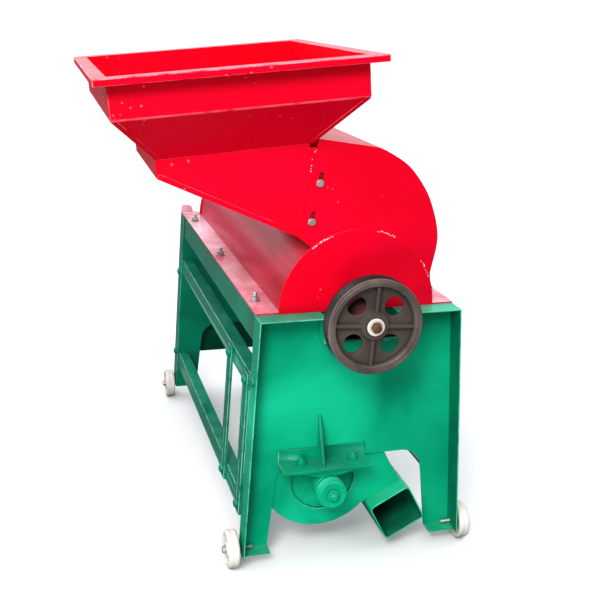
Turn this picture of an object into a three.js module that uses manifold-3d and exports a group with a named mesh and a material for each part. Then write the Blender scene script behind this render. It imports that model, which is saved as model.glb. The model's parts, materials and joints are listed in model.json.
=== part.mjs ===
// Corn thresher: folded sheet frame on four small wheels, spiked drum under a half-round cover,
// side hopper with its hood, belt pulleys and a suction fan. Millimetres, Z up, pulleys facing -Y.
// The machine is drawn with X = 0 on the drum's axis, Y = 0 on the front edge of the frame and
// Z = 0 under the frame's feet; the last lines move it so that it stands centred on the origin.

import * as THREE from 'three';
import { mergeVertices } from 'three/addons/utils/BufferGeometryUtils.js';
import Module from 'manifold-3d';

const wasm = await Module();
wasm.setup();

// Sheet, clearances and roundness
const SHEET = 3;
const THIN_SHEET = 2.5;
const GAP = 0.3;
const OVERRUN = 12;
const ROUND_STEPS = 32;
const WHEEL_STEPS = 24;
const ARC_STEPS = 12;
const BOLT_STEPS = 8;
const CORNER_STEPS = 4;
const HEXAGON = 6;
const SQUARE = 4;

// Frame
const FRAME_LENGTH = 1000;
const FRAME_HEIGHT = 520;
const PANEL_TOP_HALF = 210;
const PANEL_FOOT_HALF = 241;
const FLANGE_DEPTH = 48;
const ARCH_HEIGHT = 192;
const ARCH_TOP_HALF = 163;
const FOOT_WIDTH = 61;
const ARCH_FOOT_HALF = PANEL_FOOT_HALF - FOOT_WIDTH;
const ARCH_CORNER = 45;
const FOOT_PLATE_DEPTH = 32;
const SEAT_DROP = 50;
const SEAT_HALF = 80;
const SHAFT_NOTCH_HALF = 26;
const SHAFT_NOTCH_DEPTH = 34;
const COB_WINDOW_TOP_ANGLE = THREE.MathUtils.degToRad(26);

// Rails and motor bars
const RAIL_STEEL = 4;
const RAIL_SET_IN = 4;
const TOP_RAIL_HEIGHT = 60;
const TOP_RAIL_LEG = 45;
const TOP_RAIL_LIP = 12;
const MIDDLE_RAIL_DROP = 166;
const MIDDLE_RAIL_LOW = FRAME_HEIGHT - MIDDLE_RAIL_DROP;
const MIDDLE_RAIL_HEIGHT = 36;
const MIDDLE_RAIL_LEG = 30;
const LOWER_RAIL_LOW = 69;
const LOWER_RAIL_HEIGHT = 40;
const LOWER_RAIL_LEG = 28;
const BAR_WIDTH = 40;
const BAR_STEEL = 6;
const BAR_FOOT_RISE = 1;
const BAR_TOP_RISE = 34;
const BAR_LOW = LOWER_RAIL_LOW + BAR_FOOT_RISE;
const BAR_HIGH = MIDDLE_RAIL_LOW + BAR_TOP_RISE;
const BAR_CENTRES = [86, 247];
const BAR_BRIDGE = 77;
const BAR_SLOT_END = 9;
const BAR_BOLT_RADIUS = 5;
const BAR_BOLT_HEAD_RADIUS = 10;
const BAR_BOLT_HEAD_HEIGHT = 7;
const BAR_NUT_RADIUS = 9;
const BAR_NUT_HEIGHT = 8;
const BAR_BOLT_TAIL = 6;

// Wheels
const WHEEL_RADIUS = 40;
const WHEEL_WIDTH = 24;
const WHEEL_EDGE = 3;
const WHEEL_DISH = 3;
const WHEEL_DISH_RADIUS = 30;
const WHEEL_HUB_RADIUS = 15;
const AXLE_HEIGHT = 9.8;
const AXLE_SET_BACK = 38;
const AXLE_RADIUS = 4;
const AXLE_NUT_RADIUS = 7.4;
const AXLE_NUT_HEIGHT = 5;
const AXLE_WASHER_RADIUS = 10;
const AXLE_WASHER = 1.6;
const AXLE_HEAD_RADIUS = 8;
const AXLE_HEAD_HEIGHT = 6;
const AXLE_TAIL = 24;

// Drum cover
const COVER_SHOULDER = 50;
const COVER_RADIUS = PANEL_TOP_HALF - COVER_SHOULDER;
const COVER_END_LIP = 3;
const COVER_FLANGE_SET_IN = 1;
const COVER_FLANGE_HALF = PANEL_TOP_HALF - COVER_FLANGE_SET_IN;
const COVER_START = 43;
const COVER_NOTCH = 30;
const COVER_BOLT_SET_IN = 19;
const COVER_BOLT_X = PANEL_TOP_HALF - COVER_BOLT_SET_IN;
const COVER_BOLT_MARGIN = 131;
const COVER_BOLT_RADIUS = 5;
const COVER_BOLT_LENGTH = 34;
const COVER_NUT_RADIUS = 9;
const COVER_NUT_HEIGHT = 8;
const COVER_WASHER_RADIUS = 11;
const COVER_WASHER = 2;

// Concave sieve under the drum, and the cob window that follows it in the rear panel
const SIEVE_BEYOND_COVER = 4;
const SIEVE_DEPTH = 12;
const SIEVE_OUTER = COVER_RADIUS + SIEVE_BEYOND_COVER;
const SIEVE_INNER = SIEVE_OUTER - SIEVE_DEPTH;
const SIEVE_ROD_RADIUS = 4;
const SIEVE_ROD_COUNT = 9;
const SIEVE_RIB_COUNT = 4;
const SIEVE_RIB = 6;
const SIEVE_RAIL_HEIGHT = 40;
const COB_WINDOW_SET_IN = 4;
const COB_WINDOW_RADIUS = SIEVE_INNER - COB_WINDOW_SET_IN;

// Drum, shaft and bearings
const SHAFT_RADIUS = 17.5;
const SHAFT_START = -64;
const SHAFT_END_SET_IN = 8;
const SHAFT_END = FRAME_LENGTH - SHAFT_END_SET_IN;
const BLOCK_BASE_HALF = 72;
const BLOCK_BASE_HEIGHT = 14;
const BLOCK_DEPTH = 36;
const BLOCK_RADIUS = 38;
const BLOCK_BOLT_X = 56;
const BLOCK_BOLT_RADIUS = 5;
const DRUM_START = 66;
const DRUM_END = FRAME_LENGTH - DRUM_START;
const DRUM_TUBE_RADIUS = 72;
const DRUM_DISC_RADIUS = 92;
const DRUM_DISC = 6;
const DRUM_DISC_HOLE = 16;
const BEATER_COUNT = 4;
const BEATER_SIZE = 18;
const PEG_COUNT = 8;
const PEG_SIZE = 14;
const PEG_CLEARANCE = 14;
const PEG_TIP = SIEVE_INNER - PEG_CLEARANCE;
const PEG_END_MARGIN = 24;
const PADDLE_LENGTH = 120;
const PADDLE_STEEL = 5;

// Drum pulley
const PULLEY_FRONT = -70;
const PULLEY_WIDTH = 34;
const PULLEY_RADIUS = 96;
const PULLEY_RIM = 15;
const PULLEY_FLAT = 6;
const GROOVE_DEPTH = 12;
const GROOVE_BOTTOM_HALF = 5;
const PULLEY_WEB = 8;
const PULLEY_WEB_FRONT = -56;
const PULLEY_HUB_RADIUS = 26;
const PULLEY_HUB_FRONT = -66;
const PULLEY_HUB_END = 2;
const PULLEY_HOLE_RADIUS = 19;
const PULLEY_SPOKES = 4;
const PULLEY_RIB_WIDTH = 10;
const PULLEY_RIB_DEPTH = 7;
const PULLEY_TURN = THREE.MathUtils.degToRad(4);
const END_WASHER_RADIUS = 19;
const END_WASHER = 3;
const END_BOLT_RADIUS = 11;
const END_BOLT_HEIGHT = 8;

// Hood over the feed side
const HOOD_END = 391;
const HOOD_RISE = 177;
const HOOD_HEIGHT = COVER_RADIUS + SHEET + HOOD_RISE;
const HOOD_TILT = THREE.MathUtils.degToRad(10.7);
const HOOD_SLOT_HALF = 4.4;
const HOOD_SLOT_TRAVEL = 16.5;
const HOOD_BOLT_RADIUS = 4;
const HOOD_BOLT_HEAD_RADIUS = 7.5;
const HOOD_BOLT_HEAD_HEIGHT = 5;
const HOOD_BOLT_TAIL = 4;
const HOOD_NUT_HEIGHT = 5;
// Outline of the hood: x as shares of the cover's radius, height as shares of the hood's height
const HOOD_LEFT_SHARES = [[-0.609, 0.379], [-0.781, 0.44], [-0.556, 1]];
const HOOD_CROWN_SHARES = [
  [0.156, 0.95], [0.24, 0.94], [0.42, 0.896], [0.594, 0.84], [0.745, 0.761], [0.875, 0.667],
  [0.96, 0.572], [1.019, 0.476], [1.04, 0.4], [1.025, 0.326], [0.99, 0.245], [0.963, 0.179],
  [0.956, 0.127],
];
const HOOD_BOLT_SHARES = [[-0.531, 0.7515], [-0.623, 0.5306]];
const FEED_OPENING_SHARES = [-0.56, 0.75];

// Hopper, drawn level and then tilted about its near left rim corner. Its reach and rise are
// measured from the hood's lower left corner, and its chute ends over the cover
const HOPPER_TILT = THREE.MathUtils.degToRad(4.94);
const HOPPER_REACH = 387.64;
const HOPPER_RISE = 308.9;
const HOPPER_CORNER_Y = -80;
const RIM_LENGTH = 513;
const RIM_WIDTH = 600;
const RIM_LEFT_FLANGE = 23;
const RIM_RIGHT_FLANGE = 27;
const RIM_SIDE_FLANGE = 30;
const RIM_LIP = 12.5;
const BAND_HEIGHT = 73.6;
const PYRAMID_DEPTH = 162;
const MOUTH_START = 100.5;
const CHUTE_WALL_GAP_FROM_HOOD = 0.4;
const CHUTE_END_WALL_DEPTH = 34;
const CHUTE_TOP_END = 393.2;
const CHUTE_NOTCH_DEPTH = 8;
const CHUTE_NOTCH_LENGTH = 12.5;
const CHUTE_TONGUE_DROP = 36;
const CHUTE_TONGUE_LENGTH = 48;
const CHUTE_CLEARANCE = 5.25;
const CHUTE_END_ANGLE = THREE.MathUtils.degToRad(124.57);

// Fan
const FAN_X = -58;
const FAN_Z = 142;
const SCROLL_X = -64;
const SCROLL_Z = 165;
const SCROLL_RADIUS = 131;
const SCROLL_DEPTH = 104;
const FAN_INLET_RADIUS = 70;
const FAN_BACK_INLET_RADIUS = 60;
const OUTLET_TURN = THREE.MathUtils.degToRad(-62.4);
const OUTLET_NECK_WIDTH = 94.6;
const OUTLET_NECK_END = 125;
const OUTLET_NECK_OFFSET = 43.6;
const OUTLET_SIDE_SHIFT = 7;
const OUTLET_LENGTH = 91;
const OUTLET_WIDTH = 98;
const OUTLET_MOUTH = 15;
const OUTLET_CORNER = 10;
const BRACKET_LOW = 191;
const BRACKET_STEEL = 5;
const BRACKET_REACH = 56;
const BRACKET_RISE = 31;
const BRACKET_START = -160;
const BRACKET_END = 30;
const GUSSET_X = -72;
const GUSSET_RISE = 103;
const GUSSET_TOE = 6;
const BRACKET_SLOT_HALF = 5.5;
const BRACKET_SLOT_LENGTH = 26;
const FAN_BOLT_RADIUS = 5;
const FAN_NUT_RADIUS = 9;
const FAN_NUT_HEIGHT = 8;
const FAN_BOLT_TAIL = 6;
const FAN_BLOCK_CENTRE = 26;
const FAN_SHAFT_RADIUS = 12;
const FAN_BLOCK_RADIUS = 30;
const FAN_SHAFT_START = -24;
const FAN_SHAFT_END = 150;
const FAN_PULLEY_FRONT = -22;
const FAN_PULLEY_WIDTH = 24;
const FAN_PULLEY_RADIUS = 32;
const FAN_PULLEY_FLANGE = 3;
const FAN_PULLEY_GROOVE = 9;
const FAN_NUT_WASHER_RADIUS = 14;
const FAN_NUT_WASHER = 2;
const IMPELLER_RADIUS = 96;
const IMPELLER_START = 66;
const IMPELLER_BLADE = 3;
const IMPELLER_BLADES = 6;
const IMPELLER_DISC = 3;
const IMPELLER_DEPTH = 78;
const IMPELLER_HUB_RADIUS = 24;

// Cob apron behind the rear panel
const APRON_TOP_GAP = 4;
const APRON_TOP = FRAME_HEIGHT - COB_WINDOW_RADIUS - APRON_TOP_GAP;
const APRON_LIP = 24;
const APRON_LOW = 91;
const APRON_HALF = 200;
const APRON_REACH = 43;

const QUARTER = Math.PI / 2;
const HALF_TURN = Math.PI;
const FULL_TURN = HALF_TURN + HALF_TURN;

// Finishes
const green = { color: 0x0fa884, roughness: 0.35, metalness: 0.1 };
const darkGreen = { color: 0x0a6a54, roughness: 0.4, metalness: 0.1 };
const red = { color: 0xd81028, roughness: 0.3, metalness: 0.1 };
const castIron = { color: 0x4c4642, roughness: 0.6, metalness: 0.6 };
const bareSteel = { color: 0x8f8f8c, roughness: 0.4, metalness: 0.9 };
const zinc = { color: 0xc9c9c4, roughness: 0.35, metalness: 0.9 };
const brownSteel = { color: 0x6b4a35, roughness: 0.6, metalness: 0.5 };
const whitePlastic = { color: 0xe6e3dc, roughness: 0.5, metalness: 0 };

// Turns a closed three.js geometry into a solid whose shared corners are merged
function solid(geometry) {
  geometry.deleteAttribute('normal');
  geometry.deleteAttribute('uv');
  const merged = mergeVertices(geometry);
  const corners = merged.index.array;
  const triangles = [];
  for (let at = 0; at < corners.length; at += 3) {
    const [a, b, c] = corners.slice(at, at + 3);
    if (a !== b && b !== c && c !== a) triangles.push(a, b, c);
  }
  const mesh = new wasm.Mesh({
    numProp: 3,
    vertProperties: new Float32Array(merged.attributes.position.array),
    triVerts: new Uint32Array(triangles),
  });
  return new wasm.Manifold(mesh);
}

function geometryOf(body) {
  const mesh = body.getMesh();
  const geometry = new THREE.BufferGeometry();
  geometry.setAttribute('position', new THREE.BufferAttribute(mesh.vertProperties, 3));
  geometry.setIndex(new THREE.BufferAttribute(mesh.triVerts, 1));
  geometry.computeVertexNormals();
  return geometry;
}

function joined(parts) {
  return parts.reduce((whole, part) => whole.add(part));
}

function without(body, cutters) {
  return cutters.reduce((rest, cutter) => rest.subtract(cutter), body);
}

function place(group, name, finish, body) {
  const mesh = new THREE.Mesh(geometryOf(body), new THREE.MeshStandardMaterial(finish));
  mesh.name = name;
  group.add(mesh);
  return mesh;
}

// Outlines are lists of [across, up] points
function outline(points, holes = []) {
  const shape = new THREE.Shape(points.map(([across, up]) => new THREE.Vector2(across, up)));
  for (const hole of holes) {
    shape.holes.push(new THREE.Path(hole.map(([across, up]) => new THREE.Vector2(across, up))));
  }
  return shape;
}

function arc(centreAcross, centreUp, radius, from, to, steps) {
  const points = [];
  for (let step = 0; step <= steps; step += 1) {
    const angle = from + ((to - from) * step) / steps;
    points.push([centreAcross + radius * Math.cos(angle), centreUp + radius * Math.sin(angle)]);
  }
  return points;
}

function ring(centreAcross, centreUp, radius, steps = BOLT_STEPS) {
  return arc(centreAcross, centreUp, radius, 0, FULL_TURN, steps).slice(0, steps);
}

// A closed outline of even thickness on the right-hand side of a path
function strip(path, thickness) {
  const normals = path.slice(1).map(([across, up], index) => {
    const [fromAcross, fromUp] = path[index];
    const length = Math.hypot(across - fromAcross, up - fromUp);
    return [(up - fromUp) / length, (fromAcross - across) / length];
  });
  const inner = path.map(([across, up], index) => {
    const before = normals[Math.max(index - 1, 0)];
    const after = normals[Math.min(index, normals.length - 1)];
    const spread = 1 + before[0] * after[0] + before[1] * after[1];
    const shiftAcross = (thickness * (before[0] + after[0])) / spread;
    const shiftUp = (thickness * (before[1] + after[1])) / spread;
    return [across + shiftAcross, up + shiftUp];
  });
  return [...path, ...inner.reverse()];
}

function extruded(shape, depth) {
  return new THREE.ExtrudeGeometry(shape, { depth, bevelEnabled: false });
}

// An outline in X and Z, carried along Y
function alongY(points, yFrom, yTo, holes) {
  const geometry = extruded(outline(points, holes), yTo - yFrom);
  geometry.rotateX(QUARTER);
  geometry.translate(0, yTo, 0);
  return solid(geometry);
}

// An outline in Y and Z, carried along X
function alongX(points, xFrom, xTo, holes) {
  const geometry = extruded(outline(points, holes), xTo - xFrom);
  geometry.rotateY(QUARTER);
  geometry.rotateX(QUARTER);
  geometry.translate(xFrom, 0, 0);
  return solid(geometry);
}

function box(xFrom, xTo, yFrom, yTo, zFrom, zTo) {
  const geometry = new THREE.BoxGeometry(xTo - xFrom, yTo - yFrom, zTo - zFrom);
  geometry.translate((xFrom + xTo) / 2, (yFrom + yTo) / 2, (zFrom + zTo) / 2);
  return solid(geometry);
}

// A round or many-sided bar between two points, with a flat of a hexagon facing down when it lies level
function bar(radius, from, to, sides = BOLT_STEPS) {
  const start = new THREE.Vector3(...from);
  const way = new THREE.Vector3(...to).sub(start);
  const geometry = new THREE.CylinderGeometry(radius, radius, way.length(), sides);
  const direction = way.clone().normalize();
  const turn = new THREE.Quaternion().setFromUnitVectors(new THREE.Vector3(0, 1, 0), direction);
  geometry.applyQuaternion(turn);
  const middle = start.addScaledVector(way, 1 / 2);
  geometry.translate(middle.x, middle.y, middle.z);
  return solid(geometry);
}

// A turned piece round the Y axis: profile points are [radius, y], anticlockwise
function turned(profile, steps = ROUND_STEPS) {
  const closed = [...profile, profile[0]].map(([radius, along]) => new THREE.Vector2(radius, along));
  return solid(new THREE.LatheGeometry(closed, steps));
}

function tube(inner, outer, yFrom, yTo, steps) {
  return turned([[inner, yFrom], [outer, yFrom], [outer, yTo], [inner, yTo]], steps);
}

const machine = new THREE.Group();
const frame = new THREE.Group();
const drum = new THREE.Group();
const fan = new THREE.Group();
const hopper = new THREE.Group();
machine.add(frame, drum, fan, hopper);
drum.position.z = FRAME_HEIGHT;
fan.position.set(FAN_X, 0, FAN_Z);

const panelLean = Math.atan((PANEL_FOOT_HALF - PANEL_TOP_HALF) / FRAME_HEIGHT);
const panelBack = FLANGE_DEPTH + SHEET;
const seatTop = FRAME_HEIGHT - SEAT_DROP;

function sideAt(height) {
  return PANEL_FOOT_HALF + ((PANEL_TOP_HALF - PANEL_FOOT_HALF) * height) / FRAME_HEIGHT;
}

function archAt(height) {
  const straight = ARCH_HEIGHT - ARCH_CORNER;
  return ARCH_FOOT_HALF + ((ARCH_TOP_HALF - ARCH_FOOT_HALF) * height) / straight;
}

// Copies of a piece made for the front stand at the rear, turned half a turn about the frame's middle
function rearHalf(parent) {
  const group = new THREE.Group();
  group.rotation.z = HALF_TURN;
  group.position.y = FRAME_LENGTH;
  parent.add(group);
  return group;
}

const rear = rearHalf(frame);

// End panels: face, side flanges, split top flange, bearing pocket and foot plates of one folded sheet
function endPanel(holes) {
  const corner = ARCH_HEIGHT - ARCH_CORNER;
  const cornerX = ARCH_TOP_HALF - ARCH_CORNER;
  const notchLow = FRAME_HEIGHT - SHAFT_NOTCH_DEPTH;
  const face = [
    [-PANEL_FOOT_HALF, 0],
    [-ARCH_FOOT_HALF, 0],
    ...arc(-cornerX, corner, ARCH_CORNER, HALF_TURN, QUARTER, CORNER_STEPS),
    ...arc(cornerX, corner, ARCH_CORNER, QUARTER, 0, CORNER_STEPS),
    [ARCH_FOOT_HALF, 0],
    [PANEL_FOOT_HALF, 0],
    [PANEL_TOP_HALF, FRAME_HEIGHT],
    [SHAFT_NOTCH_HALF, FRAME_HEIGHT],
    [SHAFT_NOTCH_HALF, notchLow],
    [-SHAFT_NOTCH_HALF, notchLow],
    [-SHAFT_NOTCH_HALF, FRAME_HEIGHT],
    [-PANEL_TOP_HALF, FRAME_HEIGHT],
  ];
  const pieces = [alongY(face, FLANGE_DEPTH, panelBack, holes)];
  const seatLow = seatTop - SHEET;
  pieces.push(box(-SEAT_HALF, SEAT_HALF, 0, panelBack, seatLow, seatTop));
  for (const side of [-1, 1]) {
    const flange = [[-PANEL_FOOT_HALF, 0], [SHEET - PANEL_FOOT_HALF, 0],
      [SHEET - PANEL_TOP_HALF, FRAME_HEIGHT], [-PANEL_TOP_HALF, FRAME_HEIGHT]];
    const topFlange = [[-PANEL_TOP_HALF, FRAME_HEIGHT - SHEET], [-SEAT_HALF, FRAME_HEIGHT - SHEET],
      [-SEAT_HALF, FRAME_HEIGHT], [-PANEL_TOP_HALF, FRAME_HEIGHT]];
    const wall = [[-SEAT_HALF, seatLow], [SHEET - SEAT_HALF, seatLow],
      [SHEET - SEAT_HALF, FRAME_HEIGHT], [-SEAT_HALF, FRAME_HEIGHT]];
    const foot = [
      [-PANEL_FOOT_HALF, 0], [-ARCH_FOOT_HALF, 0], [-archAt(SHEET), SHEET], [-sideAt(SHEET), SHEET],
    ];
    const footStart = FLANGE_DEPTH - FOOT_PLATE_DEPTH;
    for (const [points, start] of [[flange, 0], [topFlange, 0], [wall, 0], [foot, footStart]]) {
      const handed = side < 0 ? points : points.map(([across, up]) => [-across, up]).reverse();
      pieces.push(alongY(handed, start, panelBack));
    }
  }
  const cutters = [];
  for (const side of [-1, 1]) {
    const inside = side * (PANEL_TOP_HALF - OVERRUN);
    const outside = side * (PANEL_FOOT_HALF + OVERRUN);
    const axle = [inside, outside].map((x) => [x, AXLE_SET_BACK, AXLE_HEIGHT]);
    cutters.push(bar(AXLE_RADIUS + GAP, ...axle));
    const boltX = side * BLOCK_BOLT_X;
    const boltY = FLANGE_DEPTH / 2;
    const high = seatTop + OVERRUN;
    cutters.push(bar(BLOCK_BOLT_RADIUS + GAP, [boltX, boltY, seatLow - OVERRUN], [boltX, boltY, high]));
  }
  return without(joined(pieces), cutters);
}

const windowFrom = -HALF_TURN + COB_WINDOW_TOP_ANGLE;
const cobWindow = arc(0, FRAME_HEIGHT, COB_WINDOW_RADIUS, windowFrom, -COB_WINDOW_TOP_ANGLE, ARC_STEPS);
place(frame, 'front_end_panel', green, endPanel([]));
place(rear, 'rear_end_panel', green, endPanel([cobWindow]));

// Top rails: folded channel that carries the cover's flange
const coverBoltPlaces = [COVER_BOLT_MARGIN, FRAME_LENGTH / 2, FRAME_LENGTH - COVER_BOLT_MARGIN];
const railStart = panelBack + GAP;
const railEnd = FRAME_LENGTH - panelBack - GAP;

function topRail() {
  const low = FRAME_HEIGHT - TOP_RAIL_HEIGHT;
  const lowX = -(sideAt(low) - RAIL_SET_IN);
  const highX = -(sideAt(FRAME_HEIGHT) - RAIL_SET_IN);
  const path = [
    [lowX + TOP_RAIL_LIP, low], [lowX, low], [highX, FRAME_HEIGHT], [highX + TOP_RAIL_LEG, FRAME_HEIGHT],
  ];
  const holes = coverBoltPlaces.map((y) => {
    const high = FRAME_HEIGHT + OVERRUN;
    return bar(COVER_BOLT_RADIUS + GAP, [-COVER_BOLT_X, y, FRAME_HEIGHT - OVERRUN], [-COVER_BOLT_X, y, high]);
  });
  return without(alongY(strip(path, RAIL_STEEL), railStart, railEnd), holes);
}

place(frame, 'left_top_rail', green, topRail());
place(rear, 'right_top_rail', green, topRail());

// Each side's lower rails and motor bars are drawn upright, with X = 0 on the rails' outer face,
// and lean with the panel's legs
function leaningSide(parent) {
  const group = new THREE.Group();
  group.position.x = RAIL_SET_IN - PANEL_FOOT_HALF;
  group.rotation.y = panelLean;
  parent.add(group);
  return group;
}

const leftSide = leaningSide(frame);
const rightSide = leaningSide(rear);
const middleBoltHeight = MIDDLE_RAIL_LOW + MIDDLE_RAIL_HEIGHT / 2;
const lowerBoltHeight = LOWER_RAIL_LOW + LOWER_RAIL_HEIGHT / 2;

function angleRail(low, height, leg, boltHeight, drilled) {
  const path = [[0, low], [0, low + height], [leg, low + height]];
  const rail = alongY(strip(path, RAIL_STEEL), railStart, railEnd);
  if (!drilled) return rail;
  const ends = BAR_CENTRES.map((y) => [[-OVERRUN, y, boltHeight], [OVERRUN, y, boltHeight]]);
  return without(rail, ends.map(([from, to]) => bar(BAR_BOLT_RADIUS + GAP, from, to)));
}

for (const [side, group] of [['left', leftSide], ['right', rightSide]]) {
  const drilled = side === 'left';
  const middle = angleRail(MIDDLE_RAIL_LOW, MIDDLE_RAIL_HEIGHT, MIDDLE_RAIL_LEG, middleBoltHeight, drilled);
  const lower = angleRail(LOWER_RAIL_LOW, LOWER_RAIL_HEIGHT, LOWER_RAIL_LEG, lowerBoltHeight, drilled);
  place(group, `${side}_middle_rail`, green, middle);
  place(group, `${side}_lower_rail`, green, lower);
}

function slot(centre, low, high, half) {
  return [
    ...arc(centre, high - half, half, 0, HALF_TURN, CORNER_STEPS),
    ...arc(centre, low + half, half, HALF_TURN, FULL_TURN, CORNER_STEPS),
  ];
}

function motorBar(centre) {
  const half = BAR_WIDTH / 2;
  const near = centre - half;
  const far = centre + half;
  const plate = [[near, BAR_LOW], [far, BAR_LOW], [far, BAR_HIGH], [near, BAR_HIGH]];
  const slotHalf = BAR_BOLT_RADIUS + GAP;
  const upperTop = middleBoltHeight + BAR_SLOT_END;
  const lowerLow = lowerBoltHeight - BAR_SLOT_END;
  const slotLength = (upperTop - lowerLow - BAR_BRIDGE) / 2;
  const holes = [
    slot(centre, upperTop - slotLength, upperTop, slotHalf),
    slot(centre, lowerLow, lowerLow + slotLength, slotHalf),
  ];
  return alongX(plate, -BAR_STEEL - GAP, -GAP, holes);
}

const [nearBar, farBar] = BAR_CENTRES;
place(leftSide, 'near_motor_bar', green, motorBar(nearBar));
place(leftSide, 'far_motor_bar', green, motorBar(farBar));

// A domed head outside, the shank through bar and rail, and a nut inside
function domedBolt(y, z) {
  const headFace = -BAR_STEEL - GAP - GAP;
  const nutFace = RAIL_STEEL + GAP;
  const domeRise = BAR_BOLT_HEAD_HEIGHT;
  const profile = [[0, 0], [BAR_BOLT_HEAD_RADIUS, 0]];
  for (let step = 1; step <= CORNER_STEPS; step += 1) {
    const angle = (QUARTER * step) / CORNER_STEPS;
    profile.push([BAR_BOLT_HEAD_RADIUS * Math.cos(angle), domeRise * Math.sin(angle)]);
  }
  profile[profile.length - 1][0] = 0;
  const dome = new THREE.LatheGeometry(profile.map((point) => new THREE.Vector2(...point)), BOLT_STEPS);
  dome.rotateZ(QUARTER);
  dome.translate(headFace, y, z);
  const shankEnd = nutFace + BAR_NUT_HEIGHT + BAR_BOLT_TAIL;
  const shank = bar(BAR_BOLT_RADIUS, [headFace - GAP, y, z], [shankEnd, y, z]);
  const nut = bar(BAR_NUT_RADIUS, [nutFace, y, z], [nutFace + BAR_NUT_HEIGHT, y, z], HEXAGON);
  return joined([solid(dome), shank, nut]);
}

for (const [name, y] of [['near', nearBar], ['far', farBar]]) {
  place(leftSide, `${name}_bar_upper_bolt`, green, domedBolt(y, middleBoltHeight));
  place(leftSide, `${name}_bar_lower_bolt`, green, domedBolt(y, lowerBoltHeight));
}

// Wheels and their axle bolts
const nutFace = PANEL_FOOT_HALF + GAP;
const wheelInner = nutFace + AXLE_NUT_HEIGHT + GAP;
const wheelMiddle = wheelInner + WHEEL_WIDTH / 2;

function wheel() {
  const half = WHEEL_WIDTH / 2;
  const bore = (AXLE_RADIUS + GAP) / Math.cos(HALF_TURN / WHEEL_STEPS);
  return turned([
    [bore, -half], [WHEEL_HUB_RADIUS, -half], [WHEEL_HUB_RADIUS, WHEEL_DISH - half],
    [WHEEL_DISH_RADIUS, WHEEL_DISH - half], [WHEEL_DISH_RADIUS, -half],
    [WHEEL_RADIUS - WHEEL_EDGE, -half], [WHEEL_RADIUS, WHEEL_EDGE - half],
    [WHEEL_RADIUS, half - WHEEL_EDGE], [WHEEL_RADIUS - WHEEL_EDGE, half],
    [WHEEL_DISH_RADIUS, half], [WHEEL_DISH_RADIUS, half - WHEEL_DISH],
    [WHEEL_HUB_RADIUS, half - WHEEL_DISH], [WHEEL_HUB_RADIUS, half], [bore, half],
  ], WHEEL_STEPS);
}

const corners = [
  ['front_left', -1, AXLE_SET_BACK], ['front_right', 1, AXLE_SET_BACK],
  ['rear_left', -1, FRAME_LENGTH - AXLE_SET_BACK], ['rear_right', 1, FRAME_LENGTH - AXLE_SET_BACK],
];
for (const [name, side, y] of corners) {
  const mesh = place(machine, `${name}_wheel`, whitePlastic, wheel());
  mesh.rotation.z = QUARTER;
  mesh.position.set(side * wheelMiddle, y, AXLE_HEIGHT);
}

function axleBolt(side, y) {
  const at = (distance) => [side * distance, y, AXLE_HEIGHT];
  const washerFace = wheelInner + WHEEL_WIDTH + GAP;
  const headFace = washerFace + AXLE_WASHER;
  return joined([
    bar(AXLE_RADIUS, at(nutFace - SHEET - GAP - AXLE_TAIL), at(headFace)),
    bar(AXLE_NUT_RADIUS, at(nutFace), at(nutFace + AXLE_NUT_HEIGHT), HEXAGON),
    bar(AXLE_WASHER_RADIUS, at(washerFace), at(headFace)),
    bar(AXLE_HEAD_RADIUS, at(headFace), at(headFace + AXLE_HEAD_HEIGHT), HEXAGON),
  ]);
}

for (const [name, side, y] of corners) {
  place(frame, `${name}_axle_bolt`, zinc, axleBolt(side, y));
}

// Drum cover: half-round sheet with flanges, and two end plates notched for the shaft
const coverBase = FRAME_HEIGHT + SHEET;
const coverSheetStart = COVER_START + SHEET;
const coverSheetEnd = FRAME_LENGTH - coverSheetStart;

function coverSheet() {
  const path = [
    [-COVER_FLANGE_HALF, coverBase],
    ...arc(0, coverBase, COVER_RADIUS, HALF_TURN, 0, ROUND_STEPS / 2),
    [COVER_FLANGE_HALF, coverBase],
  ];
  const [feedLeftShare, feedRightShare] = FEED_OPENING_SHARES;
  const feedLow = coverBase + COVER_RADIUS / 2;
  const feedStart = coverSheetStart + SHEET + SHEET;
  const feedEnd = HOOD_END - SHEET - SHEET;
  const left = feedLeftShare * COVER_RADIUS;
  const right = feedRightShare * COVER_RADIUS;
  const feed = box(left, right, feedStart, feedEnd, feedLow, coverBase + COVER_RADIUS + OVERRUN);
  const holes = coverBoltPlaces.flatMap((y) => [-1, 1].map((side) => {
    const x = side * COVER_BOLT_X;
    return bar(COVER_BOLT_RADIUS + GAP, [x, y, coverBase - OVERRUN], [x, y, coverBase + OVERRUN]);
  }));
  return without(alongY(strip(path, SHEET), coverSheetStart, coverSheetEnd), [feed, ...holes]);
}

function coverEnd(yFrom, yTo) {
  const radius = COVER_RADIUS + COVER_END_LIP;
  const notch = arc(0, FRAME_HEIGHT, COVER_NOTCH, 0, HALF_TURN, ARC_STEPS);
  const dome = arc(0, coverBase, radius, 0, HALF_TURN, ROUND_STEPS / 2);
  return alongY([...dome, [-radius, FRAME_HEIGHT], ...notch.reverse(), [radius, FRAME_HEIGHT]], yFrom, yTo);
}

place(frame, 'drum_cover', red, coverSheet());
place(frame, 'cover_front_end', red, coverEnd(COVER_START, coverSheetStart));
place(frame, 'cover_rear_end', red, coverEnd(coverSheetEnd, FRAME_LENGTH - COVER_START));

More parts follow.
